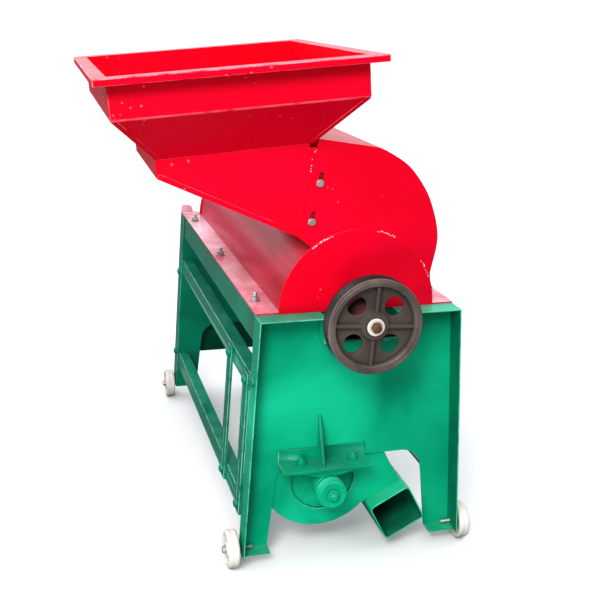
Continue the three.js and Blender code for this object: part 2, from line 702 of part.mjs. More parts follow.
// Stud through the rail's leg and the cover's flange, with washer and nut on top and a nut below
function coverBolt(x, y) {
  const at = (height) => [x, y, height];
  const washerFace = coverBase + GAP;
  const nutLow = washerFace + COVER_WASHER;
  const nutBelow = FRAME_HEIGHT - RAIL_STEEL - GAP;
  const stud = nutBelow - COVER_NUT_HEIGHT;
  return joined([
    bar(COVER_BOLT_RADIUS, at(stud), at(stud + COVER_BOLT_LENGTH)),
    bar(COVER_NUT_RADIUS, at(stud), at(nutBelow), HEXAGON),
    bar(COVER_WASHER_RADIUS, at(washerFace), at(nutLow)),
    bar(COVER_NUT_RADIUS, at(nutLow), at(nutLow + COVER_NUT_HEIGHT), HEXAGON),
  ]);
}

for (const [name, side] of [['left', -1], ['right', 1]]) {
  coverBoltPlaces.forEach((y, index) => {
    place(frame, `${name}_cover_bolt_${index + 1}`, zinc, coverBolt(side * COVER_BOLT_X, y));
  });
}

// Hood: near and far plates with slots, and the sheet wrapped over them
function hoodPoint([across, up]) {
  return [across * COVER_RADIUS, coverBase + up * HOOD_HEIGHT];
}

const hoodLeft = HOOD_LEFT_SHARES.map(hoodPoint);
const hoodCrown = HOOD_CROWN_SHARES.map(hoodPoint);
const hoodBolts = HOOD_BOLT_SHARES.map(hoodPoint);
const hoodSeat = COVER_RADIUS + GAP;
const [hoodSeatX, hoodSeatZ] = hoodLeft[0];
const hoodSeatAngle = Math.atan2(hoodSeatZ - coverBase, hoodSeatX);
const [hoodEndX, hoodEndZ] = hoodCrown[hoodCrown.length - 1];
const hoodEndAngle = Math.atan2(hoodEndZ - coverBase, hoodEndX);

function tiltedSlot([x, z], travel, half) {
  const endX = x + travel * Math.sin(HOOD_TILT);
  const endZ = z + travel * Math.cos(HOOD_TILT);
  return [
    ...arc(endX, endZ, half, -HOOD_TILT, HALF_TURN - HOOD_TILT, CORNER_STEPS),
    ...arc(x, z, half, HALF_TURN - HOOD_TILT, FULL_TURN - HOOD_TILT, CORNER_STEPS),
  ];
}

// The cover's room, which the hood's pieces are cut back from
const coverRoomRadius = hoodSeat / Math.cos(HALF_TURN / ROUND_STEPS);
const coverRoom = bar(coverRoomRadius, [0, 0, coverBase], [0, FRAME_LENGTH, coverBase], ROUND_STEPS);

function hoodPlate(yFrom, yTo) {
  const seat = arc(0, coverBase, hoodSeat, hoodEndAngle, hoodSeatAngle, ROUND_STEPS / 4);
  const points = [...hoodLeft.slice(1), ...hoodCrown.slice(0, -1), ...seat];
  const slots = hoodBolts.map((bolt) => tiltedSlot(bolt, HOOD_SLOT_TRAVEL, HOOD_SLOT_HALF));
  return alongY(points, yFrom, yTo, slots).subtract(coverRoom);
}

const hoodStart = coverSheetStart;
const hoodPlateEnd = hoodStart + SHEET;
const hoodFarStart = HOOD_END - SHEET;
const [wrapEnd] = arc(0, coverBase, hoodSeat, hoodEndAngle, 0, 1);
const wrap = strip([hoodLeft[2], ...hoodCrown.slice(0, -1), wrapEnd], THIN_SHEET);
place(frame, 'hood_near_plate', red, hoodPlate(hoodStart, hoodPlateEnd));
place(frame, 'hood_far_plate', red, hoodPlate(hoodFarStart, HOOD_END));
const wrapSheet = alongY(wrap, hoodPlateEnd, hoodFarStart);
place(frame, 'hood_wrap_sheet', red, wrapSheet.subtract(coverRoom));

// Pillow blocks: foot, rounded housing and the bearing's bore
function pillowBlock({ baseLow, centre, housing, shaft, yFrom, boltRadius }) {
  const yTo = yFrom + BLOCK_DEPTH;
  const crown = arc(0, centre, housing, 0, HALF_TURN, ARC_STEPS);
  const foot = baseLow + BLOCK_BASE_HEIGHT;
  const points = [
    [-BLOCK_BASE_HALF, baseLow], [BLOCK_BASE_HALF, baseLow], [BLOCK_BASE_HALF, foot], [housing, foot],
    ...crown, [-housing, foot], [-BLOCK_BASE_HALF, foot],
  ];
  const steps = ROUND_STEPS / 2;
  const bore = (shaft + GAP) / Math.cos(HALF_TURN / steps);
  const body = alongY(points, yFrom, yTo, [ring(0, centre, bore, steps)]);
  const middle = (yFrom + yTo) / 2;
  const ends = [-BLOCK_BOLT_X, BLOCK_BOLT_X].map((x) => {
    return [[x, middle, baseLow - OVERRUN], [x, middle, foot + OVERRUN]];
  });
  return without(body, ends.map(([from, to]) => bar(boltRadius + GAP, from, to)));
}

const drumBlock = pillowBlock({
  baseLow: seatTop + GAP,
  centre: FRAME_HEIGHT,
  housing: BLOCK_RADIUS,
  shaft: SHAFT_RADIUS,
  yFrom: (FLANGE_DEPTH - BLOCK_DEPTH) / 2,
  boltRadius: BLOCK_BOLT_RADIUS,
});
place(frame, 'front_pillow_block', castIron, drumBlock);
place(rear, 'rear_pillow_block', castIron, drumBlock);

// Concave sieve: half-round ribs, a rail along each edge and rods between them
function sieve() {
  const ribPitch = (railEnd - railStart - SIEVE_RIB) / (SIEVE_RIB_COUNT - 1);
  const low = FRAME_HEIGHT - RAIL_STEEL - SIEVE_RAIL_HEIGHT;
  const high = FRAME_HEIGHT - RAIL_STEEL;
  const railIn = SIEVE_OUTER - SIEVE_RIB;
  const parts = [-1, 1].map((side) => {
    const [from, to] = side < 0 ? [-SIEVE_OUTER, -railIn] : [railIn, SIEVE_OUTER];
    return box(from, to, railStart, railEnd, low, high);
  });
  const outer = arc(0, FRAME_HEIGHT, SIEVE_OUTER, HALF_TURN, FULL_TURN, ROUND_STEPS / 2);
  const inner = arc(0, FRAME_HEIGHT, SIEVE_INNER, FULL_TURN, HALF_TURN, ROUND_STEPS / 2);
  const wide = SIEVE_OUTER + OVERRUN;
  const above = box(-wide, wide, 0, FRAME_LENGTH, high, FRAME_HEIGHT + OVERRUN);
  for (let rib = 0; rib < SIEVE_RIB_COUNT; rib += 1) {
    const start = railStart + rib * ribPitch;
    parts.push(alongY([...outer, ...inner], start, start + SIEVE_RIB).subtract(above));
  }
  const rodPath = SIEVE_INNER + SIEVE_ROD_RADIUS;
  for (let rod = 1; rod <= SIEVE_ROD_COUNT; rod += 1) {
    const angle = HALF_TURN + (HALF_TURN * rod) / (SIEVE_ROD_COUNT + 1);
    const x = rodPath * Math.cos(angle);
    const z = FRAME_HEIGHT + rodPath * Math.sin(angle);
    parts.push(bar(SIEVE_ROD_RADIUS, [x, railStart, z], [x, railEnd, z], SQUARE));
  }
  return joined(parts);
}

place(frame, 'concave_sieve', darkGreen, sieve());

// Cob apron: sheet hung behind the rear panel under its window, drawn from the rear side
function apron() {
  const hang = FLANGE_DEPTH - GAP;
  const path = [[hang, APRON_TOP], [hang, APRON_TOP - APRON_LIP], [hang - APRON_REACH, APRON_LOW]];
  return alongX(strip(path, THIN_SHEET), -APRON_HALF, APRON_HALF);
}

place(rear, 'cob_apron', darkGreen, apron());

// Threshing drum round the shaft's axis
const shaftSteps = ROUND_STEPS / 2;
place(drum, 'drum_shaft', bareSteel, bar(SHAFT_RADIUS, [0, SHAFT_START, 0], [0, SHAFT_END, 0], shaftSteps));

function discAt(yFrom, yTo) {
  const hub = ring(0, 0, (SHAFT_RADIUS + GAP) / Math.cos(HALF_TURN / shaftSteps), shaftSteps);
  const holePath = (SHAFT_RADIUS + DRUM_TUBE_RADIUS) / 2;
  const holes = [0, QUARTER, HALF_TURN, HALF_TURN + QUARTER].map((angle) => {
    return ring(holePath * Math.cos(angle), holePath * Math.sin(angle), DRUM_DISC_HOLE);
  });
  return alongY(ring(0, 0, DRUM_DISC_RADIUS, WHEEL_STEPS), yFrom, yTo, [hub, ...holes]);
}

const discStart = DRUM_START + DRUM_DISC;
const discEnd = DRUM_END - DRUM_DISC;

// Beaters: square bars along the tube, each with a row of pegs
function beater() {
  const low = DRUM_TUBE_RADIUS - SHEET;
  const halfBar = BEATER_SIZE / 2;
  const end = discEnd - PADDLE_LENGTH;
  const parts = [box(-halfBar, halfBar, DRUM_START, end, low, low + BEATER_SIZE)];
  const first = discStart + PEG_END_MARGIN;
  const pitch = (end - PEG_END_MARGIN - first) / (PEG_COUNT - 1);
  const halfPeg = PEG_SIZE / 2;
  for (let peg = 0; peg < PEG_COUNT; peg += 1) {
    const y = first + peg * pitch;
    parts.push(box(-halfPeg, halfPeg, y - halfPeg, y + halfPeg, low + halfBar, PEG_TIP));
  }
  return joined(parts);
}

// Paddles: plates at the rear end of the drum that throw the cobs out
function paddle() {
  const low = DRUM_TUBE_RADIUS - SHEET;
  const start = discEnd - PADDLE_LENGTH + PEG_SIZE;
  return box(-PADDLE_STEEL / 2, PADDLE_STEEL / 2, start, DRUM_END, low, PEG_TIP);
}

function turnedCopies(make, count) {
  const copies = [];
  for (let index = 0; index < count; index += 1) {
    const geometry = geometryOf(make());
    geometry.rotateY((FULL_TURN * index) / count);
    copies.push(solid(geometry));
  }
  return joined(copies);
}

const threshingDrum = joined([
  tube(DRUM_TUBE_RADIUS - SHEET, DRUM_TUBE_RADIUS, DRUM_START, DRUM_END, shaftSteps),
  discAt(DRUM_START, discStart),
  discAt(discEnd, DRUM_END),
  turnedCopies(beater, BEATER_COUNT),
  turnedCopies(paddle, BEATER_COUNT),
]);
place(drum, 'threshing_drum', bareSteel, threshingDrum);

// Drum pulley: grooved rim, web with four holes and a cross of ribs, hub
function drumPulley() {
  const back = PULLEY_FRONT + PULLEY_WIDTH;
  const middle = PULLEY_FRONT + PULLEY_WIDTH / 2;
  const rimInner = PULLEY_RADIUS - PULLEY_RIM;
  const webBack = PULLEY_WEB_FRONT + PULLEY_WEB;
  const grooveLow = PULLEY_RADIUS - GROOVE_DEPTH;
  const bore = (SHAFT_RADIUS + GAP) / Math.cos(HALF_TURN / WHEEL_STEPS);
  const body = turned([
    [bore, PULLEY_HUB_FRONT], [PULLEY_HUB_RADIUS, PULLEY_HUB_FRONT], [PULLEY_HUB_RADIUS, PULLEY_WEB_FRONT],
    [rimInner, PULLEY_WEB_FRONT], [rimInner, PULLEY_FRONT], [PULLEY_RADIUS, PULLEY_FRONT],
    [PULLEY_RADIUS, PULLEY_FRONT + PULLEY_FLAT], [grooveLow, middle - GROOVE_BOTTOM_HALF],
    [grooveLow, middle + GROOVE_BOTTOM_HALF], [PULLEY_RADIUS, back - PULLEY_FLAT], [PULLEY_RADIUS, back],
    [rimInner, back], [rimInner, webBack], [PULLEY_HUB_RADIUS, webBack],
    [PULLEY_HUB_RADIUS, PULLEY_HUB_END], [bore, PULLEY_HUB_END],
  ], WHEEL_STEPS);
  const halfRib = PULLEY_RIB_WIDTH / 2;
  const ribFrom = PULLEY_WEB_FRONT - PULLEY_RIB_DEPTH;
  const ribBack = PULLEY_WEB_FRONT + PULLEY_WEB / 2;
  const ribInner = (bore + PULLEY_HUB_RADIUS) / 2;
  const ribOuter = rimInner + GAP;
  const holePath = (PULLEY_HUB_RADIUS + rimInner) / 2;
  const ribs = [];
  const holes = [];
  for (let quarter = 0; quarter < PULLEY_SPOKES; quarter += 1) {
    const rib = box(ribInner, ribOuter, ribFrom, ribBack, -halfRib, halfRib);
    const ribGeometry = geometryOf(rib);
    ribGeometry.rotateY(PULLEY_TURN + QUARTER * quarter);
    ribs.push(solid(ribGeometry));
    const angle = PULLEY_TURN + QUARTER * quarter + QUARTER / 2;
    const x = holePath * Math.cos(angle);
    const z = -holePath * Math.sin(angle);
    holes.push(bar(PULLEY_HOLE_RADIUS, [x, PULLEY_FRONT, z], [x, back, z], ROUND_STEPS / 2));
  }
  return without(joined([body, ...ribs]), holes);
}

place(drum, 'drum_pulley', castIron, drumPulley());
const washerBack = Math.min(SHAFT_START, PULLEY_HUB_FRONT) - GAP;
const washerFront = washerBack - END_WASHER;
const endBolt = joined([
  bar(END_WASHER_RADIUS, [0, washerFront, 0], [0, washerBack, 0], ROUND_STEPS / 2),
  bar(END_BOLT_RADIUS, [0, washerFront - END_BOLT_HEIGHT, 0], [0, washerFront, 0], HEXAGON),
]);
place(drum, 'pulley_bolt', brownSteel, endBolt);

// Hopper
const [, hoodCorner] = hoodLeft;
const hopperCornerX = hoodCorner[0] - HOPPER_REACH;
const hopperCornerZ = hoodCorner[1] + HOPPER_RISE;
hopper.position.set(hopperCornerX, HOPPER_CORNER_Y, hopperCornerZ);
hopper.rotation.y = -HOPPER_TILT;
const bandLeft = RIM_LEFT_FLANGE;
const bandRight = RIM_LENGTH - RIM_RIGHT_FLANGE;
const bandNear = RIM_SIDE_FLANGE;
const bandFar = RIM_WIDTH - RIM_SIDE_FLANGE;
const hopperMouthNear = hoodPlateEnd + CHUTE_WALL_GAP_FROM_HOOD - HOPPER_CORNER_Y;
const hopperMouthFar = hoodFarStart - CHUTE_WALL_GAP_FROM_HOOD - HOPPER_CORNER_Y;

// A ring of sheet between two rectangles at two heights, and the room inside it
function frustum(lower, upper) {
  const points = [];
  for (const { left, right, near, far, z } of [lower, upper]) {
    points.push([left, near, z], [right, near, z], [right, far, z], [left, far, z]);
  }
  const geometry = new THREE.BufferGeometry();
  geometry.setAttribute('position', new THREE.BufferAttribute(new Float32Array(points.flat()), 3));
  geometry.setIndex([
    0, 2, 1, 0, 3, 2, 4, 5, 6, 4, 6, 7, 0, 1, 5, 0, 5, 4,
    1, 2, 6, 1, 6, 5, 2, 3, 7, 2, 7, 6, 3, 0, 4, 3, 4, 7,
  ]);
  return solid(geometry);
}

function inset(rectangle, wall, z) {
  const { left, right, near, far } = rectangle;
  return { left: left + wall, right: right - wall, near: near + wall, far: far - wall, z };
}

const bandOuter = { left: bandLeft, right: bandRight, near: bandNear, far: bandFar };
const rimOuter = { left: 0, right: RIM_LENGTH, near: 0, far: RIM_WIDTH };

function rim() {
  const body = frustum({ ...rimOuter, z: -RIM_LIP }, { ...rimOuter, z: 0 });
  const room = inset(rimOuter, THIN_SHEET, -RIM_LIP - OVERRUN);
  const under = frustum(room, { ...room, z: -THIN_SHEET });
  const mouth = inset(bandOuter, 0, -RIM_LIP - OVERRUN);
  return without(body, [under, frustum(mouth, { ...mouth, z: OVERRUN })]);
}

function band() {
  const outer = inset(bandOuter, GAP, -BAND_HEIGHT);
  const body = frustum(outer, { ...outer, z: 0 });
  const room = inset(outer, THIN_SHEET, -BAND_HEIGHT - OVERRUN);
  return body.subtract(frustum(room, { ...room, z: OVERRUN }));
}

const mouthLength = CHUTE_TOP_END - MOUTH_START + CHUTE_NOTCH_DEPTH + GAP;
const mouthEnd = MOUTH_START + mouthLength;
const mouthOuter = { left: MOUTH_START, right: mouthEnd, near: hopperMouthNear, far: hopperMouthFar };
const pyramidTop = -BAND_HEIGHT;

function pyramid() {
  const top = inset(bandOuter, GAP, pyramidTop);
  const low = { ...mouthOuter, z: -PYRAMID_DEPTH };
  const body = frustum(low, top);
  const innerTop = inset(bandOuter, GAP + THIN_SHEET, pyramidTop);
  const innerLow = inset(mouthOuter, THIN_SHEET, -PYRAMID_DEPTH);
  const stretch = OVERRUN / (PYRAMID_DEPTH - BAND_HEIGHT);
  const beyond = (from, to, z) => ({
    left: to.left + (to.left - from.left) * stretch,
    right: to.right + (to.right - from.right) * stretch,
    near: to.near + (to.near - from.near) * stretch,
    far: to.far + (to.far - from.far) * stretch,
    z,
  });
  const above = beyond(innerLow, innerTop, pyramidTop + OVERRUN);
  const below = beyond(innerTop, innerLow, -PYRAMID_DEPTH - OVERRUN);
  return body.subtract(frustum(below, above));
}

place(hopper, 'hopper_rim', red, rim());
place(hopper, 'hopper_body', red, band().add(pyramid()));

// Chute: two side walls with tongues that slide inside the hood's plates, a short end wall
// and a sloping floor
const chuteTop = -PYRAMID_DEPTH - GAP;
const chuteWallLow = chuteTop - CHUTE_END_WALL_DEPTH;

function toHopper([x, z]) {
  const point = new THREE.Vector3(x - hopperCornerX, 0, z - hopperCornerZ);
  point.applyAxisAngle(new THREE.Vector3(0, 1, 0), HOPPER_TILT);
  return [point.x, point.z];
}

const chuteBolts = hoodBolts.map(toHopper);
const [hoodEdgeX, hoodEdgeZ] = toHopper(hoodCorner);
const chuteEnd = arc(0, coverBase, COVER_RADIUS + CHUTE_CLEARANCE, CHUTE_END_ANGLE, HALF_TURN, 1);
const [floorEndX, floorEndZ] = toHopper(chuteEnd[0]);
const slideX = Math.sin(HOOD_TILT - HOPPER_TILT);
const slideZ = Math.cos(HOOD_TILT - HOPPER_TILT);

function chuteWall(yFrom, yTo) {
  const notchLow = chuteTop - CHUTE_NOTCH_DEPTH;
  const tongueTop = chuteTop - CHUTE_TONGUE_DROP;
  const edgeAt = (z) => hoodEdgeX + CHUTE_TONGUE_LENGTH + ((z - hoodEdgeZ) * slideX) / slideZ;
  const points = [
    [MOUTH_START, chuteTop],
    [MOUTH_START, chuteWallLow],
    [floorEndX, floorEndZ],
    [edgeAt(floorEndZ + CHUTE_NOTCH_DEPTH), floorEndZ + CHUTE_NOTCH_DEPTH],
    [edgeAt(tongueTop), tongueTop],
    [CHUTE_TOP_END + CHUTE_NOTCH_LENGTH, tongueTop],
    [CHUTE_TOP_END + CHUTE_NOTCH_LENGTH, notchLow],
    [CHUTE_TOP_END, notchLow],
    [CHUTE_TOP_END, chuteTop],
  ];
  const holes = chuteBolts.map(([x, z]) => ring(x, z, HOOD_BOLT_RADIUS + GAP));
  return alongY(points, yFrom, yTo, holes);
}

const chuteNear = hopperMouthNear;
const chuteFar = hopperMouthFar;
const floorPath = [
  [MOUTH_START, chuteTop], [MOUTH_START, chuteWallLow], [floorEndX, floorEndZ],
];
const floorSheet = strip([...floorPath].reverse(), THIN_SHEET);
const chute = joined([
  chuteWall(chuteNear, chuteNear + THIN_SHEET),
  chuteWall(chuteFar - THIN_SHEET, chuteFar),
  alongY(floorSheet, chuteNear, chuteFar),
]);
place(hopper, 'hopper_chute', red, chute);

function hopperBolt([x, z], plateFace, wallInner) {
  const at = (distance) => [x, plateFace - distance, z];
  const head = GAP + HOOD_BOLT_HEAD_HEIGHT;
  const inner = wallInner - plateFace + GAP;
  return joined([
    bar(HOOD_BOLT_RADIUS, at(head), at(-inner - HOOD_NUT_HEIGHT - HOOD_BOLT_TAIL)),
    bar(HOOD_BOLT_HEAD_RADIUS, at(GAP), at(head), HEXAGON),
    bar(HOOD_BOLT_HEAD_RADIUS, at(-inner - HOOD_NUT_HEIGHT), at(-inner), HEXAGON),
  ]);
}

const nearFace = hoodStart - HOPPER_CORNER_Y;
const [upperBolt, lowerBolt] = chuteBolts;
place(hopper, 'hopper_upper_bolt', zinc, hopperBolt(upperBolt, nearFace, chuteNear + THIN_SHEET));
place(hopper, 'hopper_lower_bolt', zinc, hopperBolt(lowerBolt, nearFace, chuteNear + THIN_SHEET));

// Fan bracket: angle on the front panel with a gusset, slotted for the bearing block's bolts
const bracketTop = BRACKET_LOW + BRACKET_STEEL;
const bracketFace = FLANGE_DEPTH - GAP;
const fanBolts = [FAN_X - BLOCK_BOLT_X, FAN_X + BLOCK_BOLT_X];

function fanBracket() {
  const start = FLANGE_DEPTH - BRACKET_REACH;
  const inner = bracketFace - BRACKET_STEEL;
  const angle = [
    [start, BRACKET_LOW], [bracketFace, BRACKET_LOW], [bracketFace, BRACKET_LOW + BRACKET_RISE],
    [inner, BRACKET_LOW + BRACKET_RISE], [inner, bracketTop], [start, bracketTop],
  ];
  const gussetTop = BRACKET_LOW + GUSSET_RISE;
  const gusset = [[start + GUSSET_TOE, BRACKET_LOW], [bracketFace, BRACKET_LOW], [bracketFace, gussetTop],
    [bracketFace - BRACKET_STEEL, gussetTop]];
  const half = BRACKET_STEEL / 2;
  const stiffener = alongX(gusset, GUSSET_X - half, GUSSET_X + half);
  const body = alongX(angle, BRACKET_START, BRACKET_END).add(stiffener);
  const slots = fanBolts.flatMap((x) => {
    const reach = BRACKET_SLOT_LENGTH / 2 - BRACKET_SLOT_HALF;
    const low = BRACKET_LOW - OVERRUN;
    const high = bracketTop + OVERRUN;
    const near = FAN_BLOCK_CENTRE - BRACKET_SLOT_HALF;
    const far = FAN_BLOCK_CENTRE + BRACKET_SLOT_HALF;
    return [
      box(x - reach, x + reach, near, far, low, high),
      bar(BRACKET_SLOT_HALF, [x - reach, FAN_BLOCK_CENTRE, low], [x - reach, FAN_BLOCK_CENTRE, high]),
      bar(BRACKET_SLOT_HALF, [x + reach, FAN_BLOCK_CENTRE, low], [x + reach, FAN_BLOCK_CENTRE, high]),
    ];
  });
  return without(body, slots);
}

place(frame, 'fan_bracket', green, fanBracket());

// The fan's bearing block hangs upside down under the bracket
const hang = new THREE.Group();
hang.rotation.y = HALF_TURN;
hang.position.set(FAN_X, 0, BRACKET_LOW - GAP);
frame.add(hang);
const fanBlock = pillowBlock({
  baseLow: 0,
  centre: BRACKET_LOW - GAP - FAN_Z,
  housing: FAN_BLOCK_RADIUS,
  shaft: FAN_SHAFT_RADIUS,
  yFrom: FAN_BLOCK_CENTRE - BLOCK_DEPTH / 2,
  boltRadius: FAN_BOLT_RADIUS,
});
place(hang, 'fan_bearing_block', green, fanBlock);

function fanBearingBolt(x) {
  const at = (height) => [x, FAN_BLOCK_CENTRE, height];
  const low = BRACKET_LOW - GAP - BLOCK_BASE_HEIGHT - GAP;
  const high = bracketTop + GAP;
  return joined([
    bar(FAN_BOLT_RADIUS, at(low - FAN_NUT_HEIGHT), at(high + FAN_NUT_HEIGHT + FAN_BOLT_TAIL)),
    bar(FAN_NUT_RADIUS, at(low - FAN_NUT_HEIGHT), at(low), HEXAGON),
    bar(FAN_NUT_RADIUS, at(high), at(high + FAN_NUT_HEIGHT), HEXAGON),
  ]);
}

const [leftFanBolt, rightFanBolt] = fanBolts;
place(frame, 'fan_bearing_left_bolt', green, fanBearingBolt(leftFanBolt));
place(frame, 'fan_bearing_right_bolt', green, fanBearingBolt(rightFanBolt));

// Fan housing: scroll with a neck towards the outlet, closed by a front and a back plate
const scrollStart = panelBack + SHEET;
const scrollEnd = scrollStart + SCROLL_DEPTH;
const [alongNeckX, alongNeckZ] = [Math.cos(OUTLET_TURN), Math.sin(OUTLET_TURN)];

// A place given from the scroll's centre by its distance down the neck and its distance to the neck's right
function neckPoint(down, right) {
  return [
    SCROLL_X + down * alongNeckX - right * alongNeckZ,
    SCROLL_Z + down * alongNeckZ + right * alongNeckX,
  ];
}

const neckRight = OUTLET_NECK_OFFSET + OUTLET_NECK_WIDTH;
const neckLeft = OUTLET_NECK_OFFSET;

// The scroll's wall leaves the neck's right side and comes in to its even radius within a quarter turn
function scrollWall() {
  const from = OUTLET_TURN + QUARTER;
  const to = OUTLET_TURN + FULL_TURN + Math.asin(neckLeft / SCROLL_RADIUS);
  const points = [];
  for (let step = 0; step <= ROUND_STEPS; step += 1) {
    const angle = from + ((to - from) * step) / ROUND_STEPS;
    const ease = Math.max(1 - (angle - from) / QUARTER, 0);
    const radius = SCROLL_RADIUS + (neckRight - SCROLL_RADIUS) * ease;
    points.push([SCROLL_X + radius * Math.cos(angle), SCROLL_Z + radius * Math.sin(angle)]);
  }
  return points;
}

const scrollPath = [
  neckPoint(OUTLET_NECK_END, neckRight), ...scrollWall(), neckPoint(OUTLET_NECK_END, neckLeft),
];
const fanInlet = ring(FAN_X, FAN_Z, FAN_INLET_RADIUS, ROUND_STEPS);
const fanBackInlet = ring(FAN_X, FAN_Z, FAN_BACK_INLET_RADIUS, ROUND_STEPS);
place(frame, 'fan_front_plate', green, alongY(scrollPath, panelBack, scrollStart, [fanInlet]));
place(frame, 'fan_back_plate', green, alongY(scrollPath, scrollEnd, scrollEnd + SHEET, [fanBackInlet]));
place(frame, 'fan_scroll', green, alongY(strip([...scrollPath].reverse(), SHEET), scrollStart, scrollEnd));

// Outlet elbow: square box that turns the neck's flow to the front
function elbow() {
  const from = OUTLET_NECK_END + GAP;
  const to = from + OUTLET_LENGTH;
  const middle = (neckLeft + neckRight) / 2 + OUTLET_SIDE_SHIFT;
  const half = OUTLET_WIDTH / 2;
  const rectangle = (wall) => {
    const low = from + wall;
    const high = to - wall;
    const reach = half - wall;
    const round = OUTLET_CORNER - wall;
    const corner = (down, right, start) => arc(down, right, round, start, start + QUARTER, CORNER_STEPS / 2)
      .map((point) => neckPoint(...point));
    return [
      ...corner(high - round, reach - round + middle, 0),
      ...corner(low + round, reach - round + middle, QUARTER),
      ...corner(low + round, middle - reach + round, HALF_TURN),
      ...corner(high - round, middle - reach + round, HALF_TURN + QUARTER),
    ];
  };
  const backFace = scrollEnd + SHEET;
  const body = alongY(rectangle(0), OUTLET_MOUTH, backFace);
  const room = alongY(rectangle(SHEET), OUTLET_MOUTH - OVERRUN, scrollEnd);
  const doorLeft = Math.max(neckLeft, middle - half) + SHEET;
  const doorRight = Math.min(neckRight, middle + half) - SHEET;
  const doorEnd = from + OUTLET_LENGTH / 2;
  const door = alongY([
    neckPoint(from - OVERRUN, doorLeft), neckPoint(doorEnd, doorLeft),
    neckPoint(doorEnd, doorRight), neckPoint(from - OVERRUN, doorRight),
  ], scrollStart, scrollEnd);
  return without(body, [room, door]);
}

place(frame, 'fan_outlet_elbow', green, elbow());

// Fan rotor round its own axis
const fanShaft = bar(FAN_SHAFT_RADIUS, [0, FAN_SHAFT_START, 0], [0, FAN_SHAFT_END, 0], shaftSteps);
place(fan, 'fan_shaft', bareSteel, fanShaft);

function fanPulley(bore) {
  const middle = FAN_PULLEY_FRONT + FAN_PULLEY_WIDTH / 2;
  const back = FAN_PULLEY_FRONT + FAN_PULLEY_WIDTH;
  const outer = FAN_PULLEY_RADIUS;
  const groove = FAN_PULLEY_RADIUS - FAN_PULLEY_GROOVE;
  return turned([
    [bore, FAN_PULLEY_FRONT], [outer, FAN_PULLEY_FRONT], [outer, FAN_PULLEY_FRONT + FAN_PULLEY_FLANGE],
    [groove, middle - FAN_PULLEY_FLANGE], [groove, middle + FAN_PULLEY_FLANGE],
    [outer, back - FAN_PULLEY_FLANGE], [outer, back], [bore, back],
  ], WHEEL_STEPS);
}

const fanBore = (FAN_SHAFT_RADIUS + GAP) / Math.cos(HALF_TURN / WHEEL_STEPS);
place(fan, 'fan_pulley', green, fanPulley(fanBore));
const fanFront = Math.min(FAN_SHAFT_START, FAN_PULLEY_FRONT) - GAP;
const fanNutFront = fanFront - FAN_NUT_WASHER;
const fanNut = joined([
  bar(FAN_NUT_WASHER_RADIUS, [0, fanNutFront, 0], [0, fanFront, 0]),
  bar(FAN_NUT_RADIUS, [0, fanNutFront - FAN_NUT_HEIGHT, 0], [0, fanNutFront, 0], HEXAGON),
]);
place(fan, 'fan_pulley_nut', green, fanNut);

function impeller() {
  const discBack = IMPELLER_START + IMPELLER_DEPTH;
  const middle = (IMPELLER_START + discBack) / 2;
  const parts = [
    tube(fanBore, IMPELLER_HUB_RADIUS, IMPELLER_START, discBack, WHEEL_STEPS),
    tube(fanBore, IMPELLER_RADIUS / 2, middle, middle + IMPELLER_DISC, WHEEL_STEPS),
  ];
  const inner = (fanBore + IMPELLER_HUB_RADIUS) / 2;
  for (let blade = 0; blade < IMPELLER_BLADES; blade += 1) {
    const plate = new THREE.BoxGeometry(IMPELLER_RADIUS - inner, IMPELLER_DEPTH, IMPELLER_BLADE);
    plate.translate((IMPELLER_RADIUS + inner) / 2, middle, 0);
    plate.rotateY((FULL_TURN * blade) / IMPELLER_BLADES);
    parts.push(solid(plate));
  }
  return joined(parts);
}

place(fan, 'fan_impeller', green, impeller());

// The machine stands on its wheels, centred over the origin
machine.updateMatrixWorld(true);
const reach = new THREE.Box3().setFromObject(machine, true);
const middlePoint = reach.getCenter(new THREE.Vector3());
machine.position.set(-middlePoint.x, -middlePoint.y, -reach.min.z);

export default machine;
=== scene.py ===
# %% [markdown]
# # A corn thresher
# The machine is a folded sheet frame on four small wheels. A spiked drum turns under a half-round
# red cover, a hopper at the side feeds it, and a small fan blows the chaff out of a square mouth.
# Its exact shapes come from the CAD frame, in metres. Here each piece gets its rounded folds, its
# fasteners and its paint, and stays where the CAD piece is, so that it still moves with its body.

# %% Load the machine
import json
import math
import random

import bmesh
import bpy
from mathutils import Matrix, Vector


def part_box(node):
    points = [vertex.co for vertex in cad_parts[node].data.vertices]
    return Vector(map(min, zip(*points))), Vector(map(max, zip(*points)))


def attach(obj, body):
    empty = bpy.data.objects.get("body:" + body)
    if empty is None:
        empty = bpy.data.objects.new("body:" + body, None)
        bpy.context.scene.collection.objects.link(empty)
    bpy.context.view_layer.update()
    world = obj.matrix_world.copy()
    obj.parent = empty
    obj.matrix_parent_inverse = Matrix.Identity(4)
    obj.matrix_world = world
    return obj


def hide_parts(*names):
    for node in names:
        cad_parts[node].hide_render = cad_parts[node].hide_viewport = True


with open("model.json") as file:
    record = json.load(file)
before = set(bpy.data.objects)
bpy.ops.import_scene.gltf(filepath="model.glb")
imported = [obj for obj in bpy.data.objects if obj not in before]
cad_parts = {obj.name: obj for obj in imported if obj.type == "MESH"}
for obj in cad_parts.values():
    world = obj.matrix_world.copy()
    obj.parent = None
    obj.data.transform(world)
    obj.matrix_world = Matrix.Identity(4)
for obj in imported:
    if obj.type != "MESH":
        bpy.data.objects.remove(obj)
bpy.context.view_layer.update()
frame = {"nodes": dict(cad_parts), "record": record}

MM = 0.001

# %% [markdown]
# The CAD was drawn from the front edge of the frame, with x = 0 on the drum's axis and z = 0 under
# the feet. Measuring that corner on the front panel once lets every later size be given in
# millimetres from the places where a maker would put a tape. Sizes that the CAD already has can be
# measured on its pieces in the same way, which keeps both models in step.

